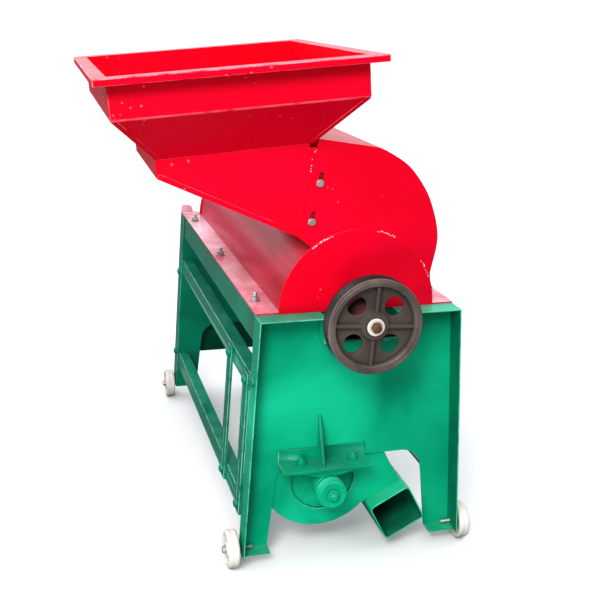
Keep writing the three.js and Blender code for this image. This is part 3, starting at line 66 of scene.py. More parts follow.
# %% A maker's zero point
panel_low, panel_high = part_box("front_end_panel")
zero = Vector(((panel_low.x + panel_high.x) / 2, panel_low.y, panel_low.z))


def at(x, y, z):
    """The place of a point that is given in millimetres from the zero point."""
    return zero + Vector((x, y, z)) * MM


def measured(node):
    """A CAD piece's low corner, middle and high corner, in millimetres from the zero point."""
    low, high = (Vector([round(v / MM, 3) for v in corner - zero]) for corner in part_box(node))
    return low, (low + high) / 2, high


FRAME_HALF_FOOT = measured("front_end_panel")[2].x
FRAME_HEIGHT = measured("front_end_panel")[2].z
DRUM_HEIGHT = measured("drum_pulley")[1].z
GAP = 0.3
print("zero point:", [round(v, 4) for v in zero], "frame height:", FRAME_HEIGHT)

# %% [markdown]
# The camera stands where the photographer stood: a little left of the pulley end and above it. A
# camera can be placed by eye, but here its place and turn were worked out from the frame's straight
# edges and the round pulley, so the edges of the render fall on those of the photograph.

# %% Camera
CAMERA_PLACE = (-607.13, -1659.38, 1110.33)
CAMERA_RIGHT = Vector((0.96317, -0.26792, 0.02279))
CAMERA_UP = Vector((0.06027, 0.29769, 0.95276))
CAMERA_LENS = 56.54
scene = bpy.context.scene
camera_data = bpy.data.cameras.new("camera")
camera_data.lens = CAMERA_LENS
camera = bpy.data.objects.new("camera", camera_data)
scene.collection.objects.link(camera)
camera_back = CAMERA_RIGHT.cross(CAMERA_UP)
camera_turn = Matrix((CAMERA_RIGHT, CAMERA_UP, camera_back)).transposed()
camera.matrix_world = Matrix.Translation(at(*CAMERA_PLACE)) @ camera_turn.to_4x4()
scene.camera = camera
print("camera at", [round(v, 3) for v in camera.location])

# %% [markdown]
# Sky, floor and paints are all trees of shader nodes. Such trees can be wired by hand in the shader
# editor. Here two small helpers add a node and feed a socket, so that each tree below reads as a
# list of what it holds.

# %% Adding and feeding nodes


def add_node(tree, kind, values=None, **settings):
    """A new shader node with its settings and the values of its sockets."""
    made = tree.nodes.new("ShaderNode" + kind)
    for name, value in settings.items():
        setattr(made, name, value)
    for name, value in (values or {}).items():
        made.inputs[name].default_value = value
    return made


def feed(tree, source, socket):
    """Links a socket to another one, or sets it to a number or a colour."""
    if isinstance(source, bpy.types.NodeSocket):
        tree.links.new(source, socket)
    else:
        socket.default_value = source


print("node helpers ready")

# %% [markdown]
# Such machines are photographed in a yard or a shed door and then cut out on white. The light here
# repeats that: the sky is brightest above and behind the machine. A photographed sky could light it
# too, but one that is worked out from the direction alone leaves no strange pattern in the paint.
# The camera itself sees an even pale sky.

# %% Sky
SKY = (0.95, 0.97, 1.0)
SKY_BRIGHTEST = Vector((0.0, 0.4, 0.9)).normalized()
SKY_RANGE = {"From Min": -0.4, "From Max": 0.9, "To Min": 0.26, "To Max": 1.35}
SKY_SEEN = 1.0
scene.view_settings.view_transform = "Standard"
scene.view_settings.look = "Medium High Contrast"
world = bpy.data.worlds.new("bright_sky")
scene.world = world
world.use_nodes = True
sky_tree = world.node_tree
sky = sky_tree.nodes["Background"]
sky.inputs["Color"].default_value = (*SKY, 1)
sky_way = add_node(sky_tree, "TexCoord")
sky_angle = add_node(sky_tree, "VectorMath", {1: SKY_BRIGHTEST}, operation="DOT_PRODUCT")
sky_strength = add_node(sky_tree, "MapRange", SKY_RANGE)
sky_ray = add_node(sky_tree, "LightPath")
sky_seen = add_node(sky_tree, "Mix", {"B": SKY_SEEN})
feed(sky_tree, sky_way.outputs["Generated"], sky_angle.inputs[0])
feed(sky_tree, sky_angle.outputs["Value"], sky_strength.inputs["Value"])
feed(sky_tree, sky_ray.outputs["Is Camera Ray"], sky_seen.inputs["Factor"])
feed(sky_tree, sky_strength.outputs["Result"], sky_seen.inputs["A"])
feed(sky_tree, sky_seen.outputs["Result"], sky.inputs["Strength"])
print("sky strength:", SKY_RANGE["To Min"], "to", SKY_RANGE["To Max"])

# %% [markdown]
# The floor is one pale disc, wide enough that its far edge leaves the picture. A plane would do as
# well. Light that it would scatter up on the machine is cut down by its material, as over the dark
# ground that the real machine stood on.

# %% Floor
FLOOR_RADIUS = 400
FLOOR_STEPS = 96
FLOOR_TONE = 0.9
FLOOR_BOUNCE_TONE = 0.14
FLOOR_ROUGHNESS = 0.9
floor_shape = bmesh.new()
bmesh.ops.create_circle(floor_shape, cap_ends=True, segments=FLOOR_STEPS, radius=FLOOR_RADIUS)
floor_mesh = bpy.data.meshes.new("floor")
floor_shape.to_mesh(floor_mesh)
floor_shape.free()
floor = bpy.data.objects.new("floor", floor_mesh)
scene.collection.objects.link(floor)
floor_paint = bpy.data.materials.new("pale_floor")
floor_paint.use_nodes = True
floor_tree = floor_paint.node_tree
floor_shader = floor_tree.nodes["Principled BSDF"]
floor_shader.inputs["Roughness"].default_value = FLOOR_ROUGHNESS
floor_ray = add_node(floor_tree, "LightPath")
floor_tone = add_node(floor_tree, "MapRange", {"To Min": FLOOR_BOUNCE_TONE, "To Max": FLOOR_TONE})
feed(floor_tree, floor_ray.outputs["Is Camera Ray"], floor_tone.inputs["Value"])
feed(floor_tree, floor_tone.outputs["Result"], floor_shader.inputs["Base Color"])
floor_mesh.materials.append(floor_paint)
print("floor radius:", FLOOR_RADIUS, "m")

# %% [markdown]
# Two soft lamps stand in for the open yard: a wide one on the camera's side for the hood and the
# hopper, and a low one for the front panel's lower left. Area lamps were chosen over spots because
# their large discs give the soft shadow edges of a bright overcast day.

# %% Lamps
LAMPS = {
    "key_light": {"place": (-1.3, -2.6, 2.5), "aim": (-0.05, -0.2, 0.85), "size": 1.2, "watts": 60},
    "low_light": {"place": (-0.5, -1.3, 0.3), "aim": (-0.1, -0.46, 0.28), "size": 0.5, "watts": 3.8},
}


def soft_lamp(name, place, aim, size, watts):
    """A round area lamp at a place in metres, turned towards its aim."""
    data = bpy.data.lights.new(name, "AREA")
    data.shape = "DISK"
    data.size = size
    data.energy = watts
    lamp = bpy.data.objects.new(name, data)
    scene.collection.objects.link(lamp)
    lamp.location = place
    lamp.rotation_mode = "QUATERNION"
    lamp.rotation_quaternion = (Vector(aim) - Vector(place)).to_track_quat("-Z", "Y")


for name, values in LAMPS.items():
    soft_lamp(name, **values)
print("lamps:", len(LAMPS))

# %% [markdown]
# Paint on such a machine is one thick coat of gloss enamel, brushed or sprayed over bare sheet. Up
# close it is never one colour: it varies in soft patches, it carries a fine orange-peel skin, dust
# lies on what faces up, and it is thin and lighter along edges. Each of these effects is a small
# node group with its own inputs, so that green and red paint, iron and plastic can share it.

# %% New node groups


def new_group(name, inputs, output):
    """An empty group with number sockets, its input and output nodes and a node of coordinates."""
    tree = bpy.data.node_groups.new(name, "ShaderNodeTree")
    for title, value in inputs.items():
        socket = tree.interface.new_socket(title, in_out="INPUT", socket_type="NodeSocketFloat")
        socket.default_value = value
    tree.interface.new_socket(output, in_out="OUTPUT", socket_type="NodeSocketFloat")
    entry = tree.nodes.new("NodeGroupInput")
    leave = tree.nodes.new("NodeGroupOutput")
    return tree, entry.outputs, leave.inputs[output], add_node(tree, "TexCoord").outputs["Object"]


print("groups can be made")

# %% [markdown]
# Three steps return in nearly every group: a cloudy noise, the stretch of a value to a range, and the
# product of several masks. As functions they read like a sentence, where the nodes alone would take
# a screen of wires.

# %% Noise, spread and product


def noise(tree, place, scale, detail, roughness=0.55, distortion=0.0):
    """The grey value of a cloudy noise in a piece's own space."""
    made = add_node(tree, "TexNoise", {"Detail": detail, "Roughness": roughness, "Distortion": distortion})
    feed(tree, place, made.inputs["Vector"])
    feed(tree, scale, made.inputs["Scale"])
    return made.outputs["Fac"]


def spread(tree, socket, low, high, to_low=0.0, to_high=1.0):
    """Stretches the part of a value between low and high to the range that is asked for."""
    made = add_node(tree, "MapRange", {"From Max": high, "To Min": to_low, "To Max": to_high})
    feed(tree, low, made.inputs["From Min"])
    feed(tree, socket, made.inputs["Value"])
    return made.outputs["Result"]


def product(tree, *sources):
    """The product of two or more values."""
    result = sources[0]
    for source in sources[1:]:
        made = add_node(tree, "Math", operation="MULTIPLY")
        feed(tree, result, made.inputs[0])
        feed(tree, source, made.inputs[1])
        result = made.outputs["Value"]
    return result


print("mask helpers ready")

# %% [markdown]
# ** Soft patches.** Large cloudy noise stands for uneven coats and for the dull sheen that handling
# leaves. It puts out one mask, and each paint decides how far its colour and gloss follow it. A
# stretch below 1 draws the clouds out along the machine into bands of painted reflection on the cover.

# %% Group: soft patches
PATCH_INPUTS = {"Scale": 5.0, "Contrast": 1.0, "Stretch": 1.0}
patches, patches_in, patches_out, patches_place = new_group("soft_patches", PATCH_INPUTS, "Mask")
patches_sizes = add_node(patches, "CombineXYZ", {"X": 1.0, "Z": 1.0})
feed(patches, patches_in["Stretch"], patches_sizes.inputs["Y"])
patches_drawn = add_node(patches, "VectorMath", operation="MULTIPLY")
feed(patches, patches_place, patches_drawn.inputs[0])
feed(patches, patches_sizes.outputs["Vector"], patches_drawn.inputs[1])
patches_cloud = noise(patches, patches_drawn.outputs["Vector"], patches_in["Scale"], detail=3.0,
                      roughness=0.5, distortion=0.6)
patches_mask = spread(patches, patches_cloud, low=0.34, high=0.66)
feed(patches, product(patches, patches_mask, patches_in["Contrast"]), patches_out)
print("group:", patches.name)

# %% [markdown]
# ** Settled dust and sheen.** Dust lies where a face looks up, so the face's own normal drives it,
# broken up by noise. The same group paints the pale bloom on the cover's flanges and crown, partly
# dust and partly a painted highlight. Its input Lowest says how far a face must look up before it
# turns pale, so a flat flange can be pale while the rolled flank beside it is clean.

# %% Group: settled dust and sheen
DUST_AND_SHEEN_INPUTS = {"Amount": 0.5, "Scale": 14.0, "Lowest": 0.25}
dust_and_sheen, dust_and_sheen_in, dust_and_sheen_out, dust_and_sheen_place = new_group("settled_dust", DUST_AND_SHEEN_INPUTS, "Mask")
dust_and_sheen_normal = add_node(dust_and_sheen, "NewGeometry")
dust_and_sheen_split = add_node(dust_and_sheen, "SeparateXYZ")
feed(dust_and_sheen, dust_and_sheen_normal.outputs["Normal"], dust_and_sheen_split.inputs["Vector"])
dust_and_sheen_up = spread(dust_and_sheen, dust_and_sheen_split.outputs["Z"], low=dust_and_sheen_in["Lowest"], high=0.95)
dust_and_sheen_cloud = noise(dust_and_sheen, dust_and_sheen_place, dust_and_sheen_in["Scale"], detail=5.0, roughness=0.6)
dust_and_sheen_broken = spread(dust_and_sheen, dust_and_sheen_cloud, low=0.3, high=0.62)
feed(dust_and_sheen, product(dust_and_sheen, dust_and_sheen_up, dust_and_sheen_broken, dust_and_sheen_in["Amount"]), dust_and_sheen_out)
print("group:", dust_and_sheen.name)

# %% [markdown]
# **Thin edges.** Paint draws back from sharp edges, so they look lighter and chip first. The pieces
# below mark the small faces of their rounded edges with a value named edge, and this group breaks
# that mark up with noise, so that an edge is worn in places and whole in others.

# %% Group: thin edges
EDGE_INPUTS = {"Amount": 0.6, "Scale": 30.0}
edges, edges_in, edges_out, edges_place = new_group("thin_edges", EDGE_INPUTS, "Mask")
edges_mark = add_node(edges, "Attribute", attribute_name="edge")
edges_cloud = noise(edges, edges_place, edges_in["Scale"], detail=4.0, roughness=0.65)
edges_broken = spread(edges, edges_cloud, low=0.36, high=0.56)
feed(edges, product(edges, edges_mark.outputs["Fac"], edges_broken, edges_in["Amount"]), edges_out)
print("group:", edges.name)

# %% [markdown]
# ** Painted shade.** Inside the fan's mouth and in the front panel's side folds, where little light
# reaches, the colour is darkened as painted shade. Faces there carry a value for it, set when the
# sheet is made, and noise breaks its tone up.

# %% Group: painted shade
PAINTED_SHADE_INPUTS = {"Amount": 1.0, "Scale": 9.0}
grime, painted_shade_in, painted_shade_out, painted_shade_place = new_group("grime", PAINTED_SHADE_INPUTS, "Mask")
painted_shade_mark = add_node(grime, "Attribute", attribute_name="grime")
painted_shade_cloud = noise(grime, painted_shade_place, painted_shade_in["Scale"], detail=3.0)
painted_shade_tone = spread(grime, painted_shade_cloud, low=0.3, high=0.6, to_low=0.8)
feed(grime, product(grime, painted_shade_mark.outputs["Fac"], painted_shade_tone, painted_shade_in["Amount"]), painted_shade_out)
print("group:", grime.name)

# %% [markdown]
# **Chips and specks.** Small cells, kept only where a coarse noise allows them, are the little pale
# nicks and paint spots on the hopper. Cells give round spots of one size, which noise alone can't.

# %% Group: chips
CHIP_INPUTS = {"Scale": 60.0, "Amount": 0.5}
CHIP_CLUSTERS = 9.0
chips, chips_in, chips_out, chips_place = new_group("chips", CHIP_INPUTS, "Mask")
chips_cells = add_node(chips, "TexVoronoi")
feed(chips, chips_place, chips_cells.inputs["Vector"])
feed(chips, chips_in["Scale"], chips_cells.inputs["Scale"])
chips_round = spread(chips, chips_cells.outputs["Distance"], low=0.2, high=0.12)
chips_where = noise(chips, chips_place, CHIP_CLUSTERS, detail=2.0)
chips_some = spread(chips, chips_where, low=0.6, high=0.68)
feed(chips, product(chips, chips_round, chips_some, chips_in["Amount"]), chips_out)
print("group:", chips.name)

# %% [markdown]
# **Skin.** One height for a Bump node: a fine orange peel for enamel, or a coarser grain for cast
# iron, and under it a slow wave, because thin sheet is never quite flat and its reflections bend.

# %% Group: skin
SKIN_INPUTS = {"Grain": 400.0, "Wave": 6.0, "Wave Share": 0.5}
skin, skin_in, skin_out, skin_place = new_group("skin", SKIN_INPUTS, "Height")
skin_mix = add_node(skin, "Mix")
feed(skin, skin_in["Wave Share"], skin_mix.inputs["Factor"])
feed(skin, noise(skin, skin_place, skin_in["Grain"], detail=2.0), skin_mix.inputs["A"])
feed(skin, noise(skin, skin_place, skin_in["Wave"], detail=1.0), skin_mix.inputs["B"])
feed(skin, skin_mix.outputs["Result"], skin_out)
print("group:", skin.name)

# %% [markdown]
# Colours are picked as they look on screen, while a shader counts in linear light, so each code is
# turned into linear values first. In a material the groups are placed like any node, and each of
# their masks lays one colour over another. A Mix node keeps its sockets for colours behind those for
# numbers and vectors under the same names, so they are picked by their place in the list.

# %% Colours and layers
MIX_MASK, MIX_UNDER, MIX_OVER, MIX_RESULT = 0, 6, 7, 2


def hue(code):
    """A colour as it looks on screen, such as '00B488', in the values that the shader takes."""
    parts = [int(code[k:k + 2], 16) / 255 for k in (0, 2, 4)]
    linear = [v / 12.92 if v < 0.04045 else ((v + 0.055) / 1.055) ** 2.4 for v in parts]
    return (*linear, 1)


def use_group(tree, group, output="Mask", **values):
    """Places a group in a material with its own values, and gives back what it puts out."""
    made = tree.nodes.new("ShaderNodeGroup")
    made.node_tree = group
    for name, value in values.items():
        made.inputs[name.replace("_", " ")].default_value = value
    return made.outputs[output]


def blend_colour(tree, mask, under, over):
    """Lays one colour over another where the mask is bright."""
    made = add_node(tree, "Mix", data_type="RGBA")
    feed(tree, mask, made.inputs[MIX_MASK])
    feed(tree, under, made.inputs[MIX_UNDER])
    feed(tree, over, made.inputs[MIX_OVER])
    return made.outputs[MIX_RESULT]


print("screen grey 808080 is", round(hue("808080")[0], 3), "in linear light")

# %% [markdown]
# A finish is then a short recipe: a main colour, a second colour for its patches, a pale colour for
# edges and chips, a powder colour for dust and, on the cover, for a painted highlight, and how rough
# the coat and its patches are. Every finish also lays a dark painted shade on faces marked for it.
# Keeping the recipe in one function means that every finish is built the same way, while the shader
# itself stays in the material.

# %% Finish recipe
# The dark green of the painted shade in hollows and folds.
PAINTED_SHADE_TONE = "00251A"
QUIET = {"patch_scale": 5.0, "patch": 0.7, "stretch": 1.0, "dust_and_sheen": 0.2, "dust_and_sheen_scale": 14.0,
         "dust_and_sheen_slope": 0.25, "edge": 0.6, "edge_scale": 30.0, "chip_scale": 60.0, "chip": 0.0}


def finish(name, main, patch, edge, powder_and_sheen, roughness, masks, bump, **constants):
    """A material whose roughness is given for the coat and for its patches."""
    material = bpy.data.materials.new(name)
    material.use_nodes = True
    tree = material.node_tree
    shader = tree.nodes["Principled BSDF"]
    use = {**QUIET, **masks}
    cloud = use_group(tree, patches, Scale=use["patch_scale"], Contrast=use["patch"], Stretch=use["stretch"])
    dust_and_sheen_mask = use_group(tree, dust_and_sheen, Amount=use["dust_and_sheen"], Scale=use["dust_and_sheen_scale"], Lowest=use["dust_and_sheen_slope"])
    nicks = use_group(tree, chips, Scale=use["chip_scale"], Amount=use["chip"])
    worn = use_group(tree, edges, Amount=use["edge"], Scale=use["edge_scale"])
    # The last layer darkens faces marked for it, as painted shade.
    painted_shading = use_group(tree, grime)
    colour = hue(main)
    for mask, over in ((cloud, patch), (dust_and_sheen_mask, powder_and_sheen), (nicks, edge), (worn, edge), (painted_shading, PAINTED_SHADE_TONE)):
        colour = blend_colour(tree, mask, colour, hue(over))
    feed(tree, colour, shader.inputs["Base Color"])
    coat, patchy = roughness
    feed(tree, spread(tree, cloud, low=0, high=1, to_low=coat, to_high=patchy), shader.inputs["Roughness"])
    relief = use_group(tree, skin, "Height", Grain=bump["grain"], Wave=bump["wave"], Wave_Share=bump["share"])
    height = add_node(tree, "Bump", {"Strength": bump["strength"], "Distance": bump["depth"]})
    feed(tree, relief, height.inputs["Height"])
    feed(tree, height.outputs["Normal"], shader.inputs["Normal"])
    for socket, value in constants.items():
        shader.inputs[socket.replace("_", " ")].default_value = value
    return material


print("finish recipe ready")

# %% [markdown]
# **Green enamel** covers the frame, rails, bars and fan: a blue-green with lighter, greyer patches.
# Its index of refraction is set low, at 1.25. A true 1.5 would lay a haze of white floor over the
# colour, while the photograph shows deep colour in front and pale sheen only at a grazing angle.
# Rails, motor bars and rear panel have a glossier green, darker as painted shade, the fan's bracket
# has a tone between the two as painted half shade, and the sheets inside are darker still. One green
# could serve frame, rails and bracket, and their darker tones are painted shade.

# %% Green enamels
ENAMEL_BUMP = {"grain": 420.0, "wave": 7.0, "share": 0.8, "strength": 0.24, "depth": 0.004}
ENAMEL_IOR = 1.25
green_paint = finish(
    "green_enamel", main="009470", patch="18C698", edge="A4E8D6", powder_and_sheen="6FC9AD", roughness=(0.24, 0.4),
    masks={"patch_scale": 4.2, "patch": 0.85, "edge": 0.9, "dust_and_sheen": 0.3}, bump=ENAMEL_BUMP, IOR=ENAMEL_IOR)
dark_green_paint = finish(
    "dark_green_enamel", main="00553F", patch="02664E", edge="4FA58C", powder_and_sheen="3F8E76",
    roughness=(0.36, 0.55), masks={"patch": 0.8, "edge": 0.5, "dust_and_sheen": 0.05}, bump=ENAMEL_BUMP,
    IOR=ENAMEL_IOR)
shaded_green_paint = finish(
    "rail_enamel", main="00745A", patch="008F70", edge="A4E8D6", powder_and_sheen="78BFAA", roughness=(0.22, 0.36),
    masks={"patch_scale": 4.2, "patch": 0.9, "edge": 0.9, "dust_and_sheen": 0.25}, bump=ENAMEL_BUMP, IOR=1.4)
half_shaded_green_paint = finish(
    "bracket_enamel", main="008765", patch="00A07A", edge="A4E8D6", powder_and_sheen="78BFAA",
    roughness=(0.24, 0.4), masks={"patch_scale": 9.0, "patch": 0.9, "edge": 0.9, "dust_and_sheen": 0.15},
    bump=ENAMEL_BUMP, IOR=1.3)
print("greens:", green_paint.name, shaded_green_paint.name, half_shaded_green_paint.name, dark_green_paint.name)

# %% [markdown]
# **Red enamel** covers the hopper, hood and cover: a strong pinkish red, deeper where it is shaded.
# The rolled cover is glossier, with bands of deeper crimson along it that are painted reflections,
# and its flat flanges are pale with dust and a painted highlight. Where paint was scraped off along
# welds, a pinkish-white primer shows, and behind the hood's slots a dark red is painted shade.

# %% Red enamels
SMOOTH_BUMP = {"grain": 300.0, "wave": 12.0, "share": 0.5, "strength": 0.2, "depth": 0.001}
red_paint = finish(
    "red_enamel", main="F00434", patch="DE001E", edge="FBC0CC", powder_and_sheen="F4C0CE", roughness=(0.24, 0.38),
    masks={"patch_scale": 3.4, "patch": 0.8, "edge": 0.6, "dust_and_sheen": 0.22, "dust_and_sheen_scale": 5.0, "chip": 0.25},
    bump=ENAMEL_BUMP, IOR=ENAMEL_IOR)
cover_paint_painted_reflections = finish(
    "cover_enamel", main="EE3E62", patch="A6001E", edge="FBC8D2", powder_and_sheen="FFDCE8", roughness=(0.16, 0.34),
    masks={"patch_scale": 13.0, "patch": 0.95, "stretch": 0.05, "dust_and_sheen": 1.0, "dust_and_sheen_scale": 5.0,
           "dust_and_sheen_slope": 0.86},
    bump={**ENAMEL_BUMP, "strength": 0.2}, IOR=1.32)
scraped_paint = finish(
    "scraped_paint", main="F8C9D2", patch="FBE6EA", edge="FFFFFF", powder_and_sheen="FFFFFF", roughness=(0.55, 0.7),
    masks={}, bump={**ENAMEL_BUMP, "wave": 90.0, "share": 0.5})
# A dark red laid on the hopper's tongues behind the hood's slots, as painted shade.
grimy_red = finish(
    "grimy_red", main="8E0016", patch="6A0010", edge="B02030", powder_and_sheen="8A4048", roughness=(0.6, 0.8),
    masks={}, bump=SMOOTH_BUMP)
print("reds:", red_paint.name, cover_paint_painted_reflections.name, scraped_paint.name, grimy_red.name)

# %% [markdown]
# ** Pulley iron.** The pulley is a brown-grey casting with a grainy skin. Its front rim is turned and
# therefore lighter, and its groove is painted nearly black as painted shade. The same dark iron also
# serves the pillow blocks. One iron with a mask could do all three, but each is a piece of its own
# anyway, so three plain finishes are easier to set.

# %% Three irons
CASTING_BUMP = {"grain": 260.0, "wave": 30.0, "share": 0.3, "strength": 0.5, "depth": 0.0016}
IRON_MASKS = {"patch_scale": 12.0, "patch": 1.0, "edge": 0.6, "edge_scale": 60.0}
cast_iron = finish(
    "cast_iron", main="1B1614", patch="2A2321", edge="9A9089", powder_and_sheen="6A615B", roughness=(0.34, 0.5),
    masks=IRON_MASKS, bump=CASTING_BUMP, IOR=1.4)
worn_iron = finish(
    "worn_iron", main="463D39", patch="564C47", edge="9A9089", powder_and_sheen="6A615B", roughness=(0.4, 0.55),
    masks={**IRON_MASKS, "edge": 0.5}, bump=CASTING_BUMP, IOR=1.4)
turned_iron = finish(
    "turned_iron", main="5C504B", patch="776B65", edge="A89E97", powder_and_sheen="857C75", roughness=(0.32, 0.48),
    masks={**IRON_MASKS, "patch_scale": 16.0}, bump=CASTING_BUMP, Metallic=0.3)
print("irons:", cast_iron.name, worn_iron.name, turned_iron.name)

# %% [markdown]
# **Fasteners, shafts and wheels.** The fasteners are dull zinc, the shafts are drawn steel, the
# pulley's end bolt has browned, and the wheels are white nylon that has picked up dirt.

# %% Zinc, steel and nylon
zinc = finish(
    "zinc", main="B9B9B4", patch="D6D6D2", edge="F0F0EE", powder_and_sheen="A09C92", roughness=(0.32, 0.5),
    masks={"patch_scale": 60.0, "edge": 0.4}, bump=SMOOTH_BUMP, Metallic=0.75)
steel = finish(
    "bare_steel", main="7E7D7A", patch="95928C", edge="C9C7C2", powder_and_sheen="8A8070", roughness=(0.36, 0.55),
    masks={"patch_scale": 16.0, "edge": 0.4}, bump=SMOOTH_BUMP, Metallic=0.85)
brown_steel = finish(
    "browned_steel", main="6A4836", patch="8A6248", edge="B08A6A", powder_and_sheen="80604C", roughness=(0.5, 0.7),
    masks={"patch_scale": 80.0, "edge": 0.4}, bump=SMOOTH_BUMP, Metallic=0.4)
nylon = finish(
    "white_nylon", main="E9E6E0", patch="D9D2C8", edge="F6F4F0", powder_and_sheen="B9AA98", roughness=(0.45, 0.62),
    masks={"patch_scale": 22.0, "patch": 1.0, "dust_and_sheen": 0.1, "edge": 0.3}, bump=SMOOTH_BUMP,
    Subsurface_Weight=0.05)
print("finishes:", len(bpy.data.materials))

# %% [markdown]
# The record gives each CAD piece a slot, which says what it is made of, and a body, which says what
# it moves with. Most pieces take the finish of their slot. The few with painted shade or painted
# reflections are listed by name instead of getting slots of their own, so the record stays simple.

# %% Which piece gets which finish
PAINT_OF_SLOT = {
    "green_paint": green_paint, "dark_green_paint": dark_green_paint, "red_paint": red_paint,
    "cast_iron": cast_iron, "bare_steel": steel, "zinc": zinc, "brown_steel": brown_steel,
    "white_plastic": nylon,
}
RAIL_ENDINGS = ("_rail", "_motor_bar")
# The cover gets painted reflections, and the rear panel, rails, motor bars and fan bracket get greens
# darkened as painted shade.
PAINT_OF_NODE = {"drum_cover": cover_paint_painted_reflections, "rear_end_panel": shaded_green_paint, "fan_bracket": half_shaded_green_paint}
PAINT_OF_NODE.update({node: shaded_green_paint for node in frame["nodes"] if node.endswith(RAIL_ENDINGS)})
slot_of = {row["node"]: row["material_slot"] for row in frame["record"]["subparts"]}
body_of = {node: body for body, nodes in frame["record"]["behaviour"]["bodies"].items() for node in nodes}
print("pieces with a finish of their own:", len(PAINT_OF_NODE))

# %% [markdown]
# Every piece ends the same way: its mesh gets a finish, smooth shading that still breaks at real
# corners, the body that it moves with, and the name of the CAD pieces that it stands for. Shading
# could be set face by face, but one angle that tells a corner from a curve does it for all.

# %% Placing a piece
CREASE = math.radians(38)
remade = set()


def add_piece(name, shape, slot, body, nodes=(), weighted=False, paint=None):
    """Turns a shape into a piece of the scene that rides on its body."""
    mesh = bpy.data.meshes.new(name)
    shape.to_mesh(mesh)
    shape.free()
    mesh.materials.append(paint or PAINT_OF_SLOT[slot])
    mesh.polygons.foreach_set("use_smooth", [True] * len(mesh.polygons))
    mesh.set_sharp_from_angle(angle=CREASE)
    piece = bpy.data.objects.new(name, mesh)
    scene.collection.objects.link(piece)
    if weighted:
        even = piece.modifiers.new("even_normals", "WEIGHTED_NORMAL")
        even.keep_sharp = True
    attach(piece, body)
    if nodes:
        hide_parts(*nodes)
        remade.update(nodes)
    return piece


print("creases over", round(math.degrees(CREASE)), "degrees stay sharp")

# %% [markdown]
# **Folded sheet.** A press brake leaves a round outer corner at each fold, and shears leave a tiny
# burr on cut edges. The CAD sheet has sharp corners, so its shape is copied, its flat faces are
# joined, the long folds are rounded by about the sheet's thickness and all other corners are eased
# by half a millimetre. Modelling each sheet again would cost accuracy and gain nothing.

# %% Easing corners
EASED = 0.5 * MM
CORNER = math.radians(30)
CORNER_STEPS = 1
WORN_CORNER = 1.0


def is_corner(edge):
    return len(edge.link_faces) == 2 and edge.calc_face_angle(0) > CORNER and edge.is_convex


def ease(shape, chosen, width, steps, mark):
    """Bevels the chosen edges and marks the new faces for the group of thin edges."""
    layer = shape.faces.layers.float.get("edge") or shape.faces.layers.float.new("edge")
    picked = [edge for edge in shape.edges if chosen(edge)]
    if not picked:
        return
    made = bmesh.ops.bevel(shape, geom=picked, offset=width, offset_type="OFFSET", segments=steps,
                           profile=0.5, affect="EDGES", clamp_overlap=True)
    for face in made["faces"]:
        face[layer] = mark


print("corners are eased by", round(EASED / MM, 1), "mm")

# %% [markdown]
# A fold is told from a cut edge by its length and by the width of the walls beside it: the edge of
# a sheet has a wall only as wide as the sheet is thick.

# %% Softened sheet
FOLD_RADIUS = 2.4 * MM
FOLD_STEPS = 3
WORN_FOLD = 0.35
NARROWEST_WALL = 6 * MM
SHORTEST_FOLD = 12 * MM
SAME_POINT = 0.02 * MM
SAME_PLANE = math.radians(0.6)


def is_fold(edge):
    length = edge.calc_length()
    if len(edge.link_faces) != 2 or length < SHORTEST_FOLD or not edge.is_convex:
        return False
    if edge.calc_face_angle(0) < CORNER:
        return False
    return all(face.calc_area() / length > NARROWEST_WALL for face in edge.link_faces)


def dress(shape, fold=FOLD_RADIUS, eased=EASED):
    """Rounds a sheet's folds and eases its corners."""
    ease(shape, is_fold, fold, FOLD_STEPS, WORN_FOLD)
    ease(shape, is_corner, eased, CORNER_STEPS, WORN_CORNER)
    return shape


def soften(node, painted_shading=None, **sizes):
    """Dresses a copy of a CAD piece, whose faces may carry painted shade in places."""
    shape = bmesh.new()
    shape.from_mesh(frame["nodes"][node].data)
    bmesh.ops.remove_doubles(shape, verts=shape.verts, dist=SAME_POINT)
    bmesh.ops.dissolve_limit(shape, angle_limit=SAME_PLANE, verts=shape.verts, edges=shape.edges)
    if painted_shading:
        layer = shape.faces.layers.float.new("grime")
        for face in shape.faces:
            face[layer] = painted_shading(face)
    add_piece(node + "_dressed", dress(shape, **sizes), slot_of[node], body_of[node], [node],
              weighted=True, paint=PAINT_OF_NODE.get(node))


print("folds get a radius of", round(FOLD_RADIUS / MM, 1), "mm")

# %% [markdown]
# Round pieces are turned from a profile, as on a lathe: pairs of radius and place along the axis,
# with a small radius at each corner that the casting or the mould leaves. The Screw modifier could
# spin a profile too. It is spun with bmesh here, because even rings of faces take smooth shading
# well and several turned shapes can be joined before they become one piece.

# %% Rounded outlines
LONGEST_CUT_SHARE = 0.48


def filleted(points, closed=True, steps=4):
    """Rounds the corners of an outline of (x, y, radius) points."""
    rounded = []
    last = len(points) - 1
    for index, (x, y, radius) in enumerate(points):
        here = Vector((x, y))
        if radius == 0 or (not closed and index in (0, last)):
            rounded.append((x, y))
            continue
        before = Vector(points[index - 1][:2]) - here
        after = Vector(points[(index + 1) % len(points)][:2]) - here
        slope = math.tan(before.angle(after) / 2)
        cut = min(radius / slope, before.length * LONGEST_CUT_SHARE, after.length * LONGEST_CUT_SHARE)
        start = here + before.normalized() * cut
        end = here + after.normalized() * cut
        for step in range(steps + 1):
            t = step / steps
            point = start * (1 - t) ** 2 + here * 2 * t * (1 - t) + end * t * t
            rounded.append((point.x, point.y))
    return rounded


print("outline helper ready")

# %% [markdown]
# A turned shape is a stack of rings, each joined to the next by four-sided faces. Where the profile
# touches the axis, a ring is a single point and the faces there have three sides.

# %% Turned shapes
TURN_STEPS = 72
BOLT_TURN_STEPS = 28


